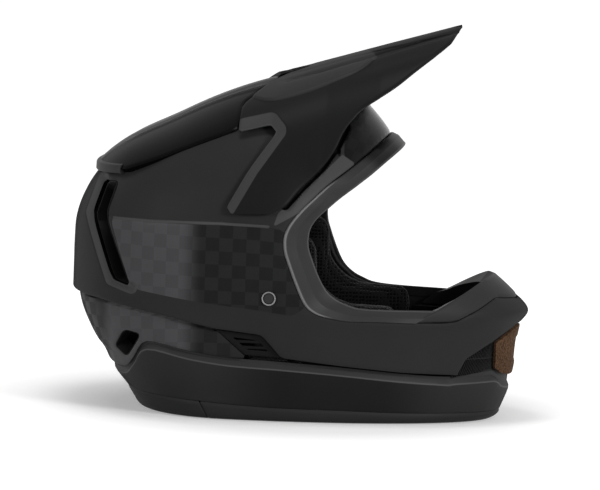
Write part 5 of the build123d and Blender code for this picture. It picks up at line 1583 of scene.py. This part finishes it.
class HelmetColours(bpy.types.PropertyGroup):
    """Colours that a user may change"""
    shell: colour_setting("Shell", linear("292929"), "Matte shell")
    weave_dark: colour_setting("Weave dark", linear("19191A"), "Darker squares of the weave")
    weave_light: colour_setting("Weave light", linear("242425"), "Lighter squares of the weave")
    # Painted highlight: a light tone that stands in for light on the temple, along the crease and beside the
    # rear slots
    strip: colour_setting("Painted highlight", linear("454545"), "Painted highlight and reflection on the temple, the crease and the slot edges")
    gloss: colour_setting("Cover", linear("070707"), "Gloss cover")
    visor: colour_setting("Visor", linear("181818"), "Visor")
    trim: colour_setting("Trim", linear("2D2D2D"), "Port trim and chin cap")
    rubber: colour_setting("Roll", linear("2B2B2B"), "Bottom roll")
    plastic: colour_setting("Plastic", linear("141414"), "Vents and small plastic pieces")
    brown: colour_setting("Vent frame", linear("4C3829"), "Brown frame of the front vent")
    foam: colour_setting("Foam", linear("080808"), "Pressed bead foam")
    fabric: colour_setting("Fabric", linear("121212"), "Padding fabric")
    strap: colour_setting("Strap", linear("1F1F1F"), "Chin strap")
    metal: colour_setting("Metal", linear("555557"), "Rivets, pin and screw")


class HELMET_OT_stage(bpy.types.Operator):
    """Adds the floor, the lamps and the camera"""
    bl_idname = "helmet.stage"
    bl_label = "Studio and camera"

    def execute(self, context):
        make_camera()
        make_stage()
        return {"FINISHED"}


class HELMET_OT_shell(bpy.types.Operator):
    """Builds the outer shell with its weave"""
    bl_idname = "helmet.shell"
    bl_label = "Outer shell"

    def execute(self, context):
        make_outer_shell(context.scene.helmet_sizes, finishes_for(context)["shell"])
        return {"FINISHED"}


class HELMET_OT_cover(bpy.types.Operator):
    """Builds the gloss cover with its rear lip"""
    bl_idname = "helmet.cover"
    bl_label = "Crown cover"

    def execute(self, context):
        make_crown_panel(context.scene.helmet_sizes, finishes_for(context))
        return {"FINISHED"}


class HELMET_OT_lower_shells(bpy.types.Operator):
    """Builds the neck panel and the collar"""
    bl_idname = "helmet.lower_shells"
    bl_label = "Neck panel and collar"

    def execute(self, context):
        make_lower_shells(context.scene.helmet_sizes, finishes_for(context))
        return {"FINISHED"}


class HELMET_OT_base_trims(bpy.types.Operator):
    """Builds the two lengths of the bottom roll"""
    bl_idname = "helmet.base_trims"
    bl_label = "Bottom roll"

    def execute(self, context):
        make_base_trims(finishes_for(context)["rubber"])
        return {"FINISHED"}


class HELMET_OT_port_trim(bpy.types.Operator):
    """Builds the gasket round the eye port"""
    bl_idname = "helmet.port_trim"
    bl_label = "Port trim"

    def execute(self, context):
        make_port_trim(finishes_for(context)["gasket"])
        return {"FINISHED"}


class HELMET_OT_chin_pieces(bpy.types.Operator):
    """Builds the chin cap, net and vent frame"""
    bl_idname = "helmet.chin_pieces"
    bl_label = "Chin pieces"

    def execute(self, context):
        make_chin_pieces(context.scene.helmet_sizes, finishes_for(context))
        return {"FINISHED"}


class HELMET_OT_vent_inserts(bpy.types.Operator):
    """Builds the slot bezels and louvres"""
    bl_idname = "helmet.vent_inserts"
    bl_label = "Vent inserts"

    def execute(self, context):
        make_vent_inserts(finishes_for(context)["plastic"])
        return {"FINISHED"}


class HELMET_OT_visor(bpy.types.Operator):
    """Builds the peaked visor"""
    bl_idname = "helmet.visor"
    bl_label = "Visor"

    def execute(self, context):
        make_visor(context.scene.helmet_sizes, finishes_for(context)["visor"])
        return {"FINISHED"}


class HELMET_OT_foams(bpy.types.Operator):
    """Builds the crown, neck and chin foam"""
    bl_idname = "helmet.foams"
    bl_label = "Energy foam"

    def execute(self, context):
        make_foams(context.scene.helmet_sizes, finishes_for(context)["foam"])
        return {"FINISHED"}


class HELMET_OT_liner(bpy.types.Operator):
    """Builds the skull liner, brow pad and neck roll"""
    bl_idname = "helmet.liner"
    bl_label = "Liner cushions"

    def execute(self, context):
        make_liner(context.scene.helmet_sizes, finishes_for(context)["fabric"])
        return {"FINISHED"}


class HELMET_OT_cheek_pads(bpy.types.Operator):
    """Builds and stuffs both cheek pads and builds their foam"""
    bl_idname = "helmet.cheek_pads"
    bl_label = "Cheek pads"

    def execute(self, context):
        make_cheek_pads(finishes_for(context)["fabric"])
        make_cheek_foams(finishes_for(context)["foam"])
        return {"FINISHED"}


class HELMET_OT_straps(bpy.types.Operator):
    """Builds the webbing and the jaw sleeves"""
    bl_idname = "helmet.straps"
    bl_label = "Chin strap"

    def execute(self, context):
        make_straps(finishes_for(context))
        return {"FINISHED"}


class HELMET_OT_rivets(bpy.types.Operator):
    """Builds the two strap rivets"""
    bl_idname = "helmet.rivets"
    bl_label = "Strap rivets"

    def execute(self, context):
        make_rivets(finishes_for(context)["rivet"])
        return {"FINISHED"}


class HELMET_OT_hardware(bpy.types.Operator):
    """Gives the CAD nodes that stay their finishes"""
    bl_idname = "helmet.hardware"
    bl_label = "Hardware finishes"

    def execute(self, context):
        dress_hardware(finishes_for(context))
        return {"FINISHED"}


OPERATORS = (HELMET_OT_stage, HELMET_OT_shell, HELMET_OT_cover, HELMET_OT_lower_shells,
             HELMET_OT_base_trims, HELMET_OT_port_trim, HELMET_OT_chin_pieces,
             HELMET_OT_vent_inserts, HELMET_OT_visor, HELMET_OT_foams, HELMET_OT_liner,
             HELMET_OT_cheek_pads, HELMET_OT_straps, HELMET_OT_rivets, HELMET_OT_hardware)


class HELMET_PT_panel(bpy.types.Panel):
    """Lists the sizes, the colours and the building steps"""
    bl_idname = "HELMET_PT_panel"
    bl_label = "Full face helmet"
    bl_space_type = "VIEW_3D"
    bl_region_type = "UI"
    bl_category = "Helmet"

    def draw(self, context):
        for group in (context.scene.helmet_sizes, context.scene.helmet_colours):
            for key in group.__annotations__:
                self.layout.prop(group, key)
        for step in OPERATORS:
            self.layout.operator(step.bl_idname)


CLASSES = (HelmetSizes, HelmetColours) + OPERATORS + (HELMET_PT_panel,)


def register():
    for kind in CLASSES:
        bpy.utils.register_class(kind)
    bpy.types.Scene.helmet_sizes = bpy.props.PointerProperty(type=HelmetSizes)
    bpy.types.Scene.helmet_colours = bpy.props.PointerProperty(type=HelmetColours)


def unregister():
    del bpy.types.Scene.helmet_colours
    del bpy.types.Scene.helmet_sizes
    for kind in reversed(CLASSES):
        bpy.utils.unregister_class(kind)


def main():
    """Builds everything in order."""
    register()
    bpy.ops.helmet.stage()
    bpy.ops.helmet.shell()
    bpy.ops.helmet.cover()
    bpy.ops.helmet.lower_shells()
    bpy.ops.helmet.base_trims()
    bpy.ops.helmet.port_trim()
    bpy.ops.helmet.chin_pieces()
    bpy.ops.helmet.vent_inserts()
    bpy.ops.helmet.visor()
    bpy.ops.helmet.foams()
    bpy.ops.helmet.liner()
    bpy.ops.helmet.cheek_pads()
    bpy.ops.helmet.straps()
    bpy.ops.helmet.rivets()
    bpy.ops.helmet.hardware()
    bpy.context.view_layer.update()


if __name__ == "__main__":
    main()
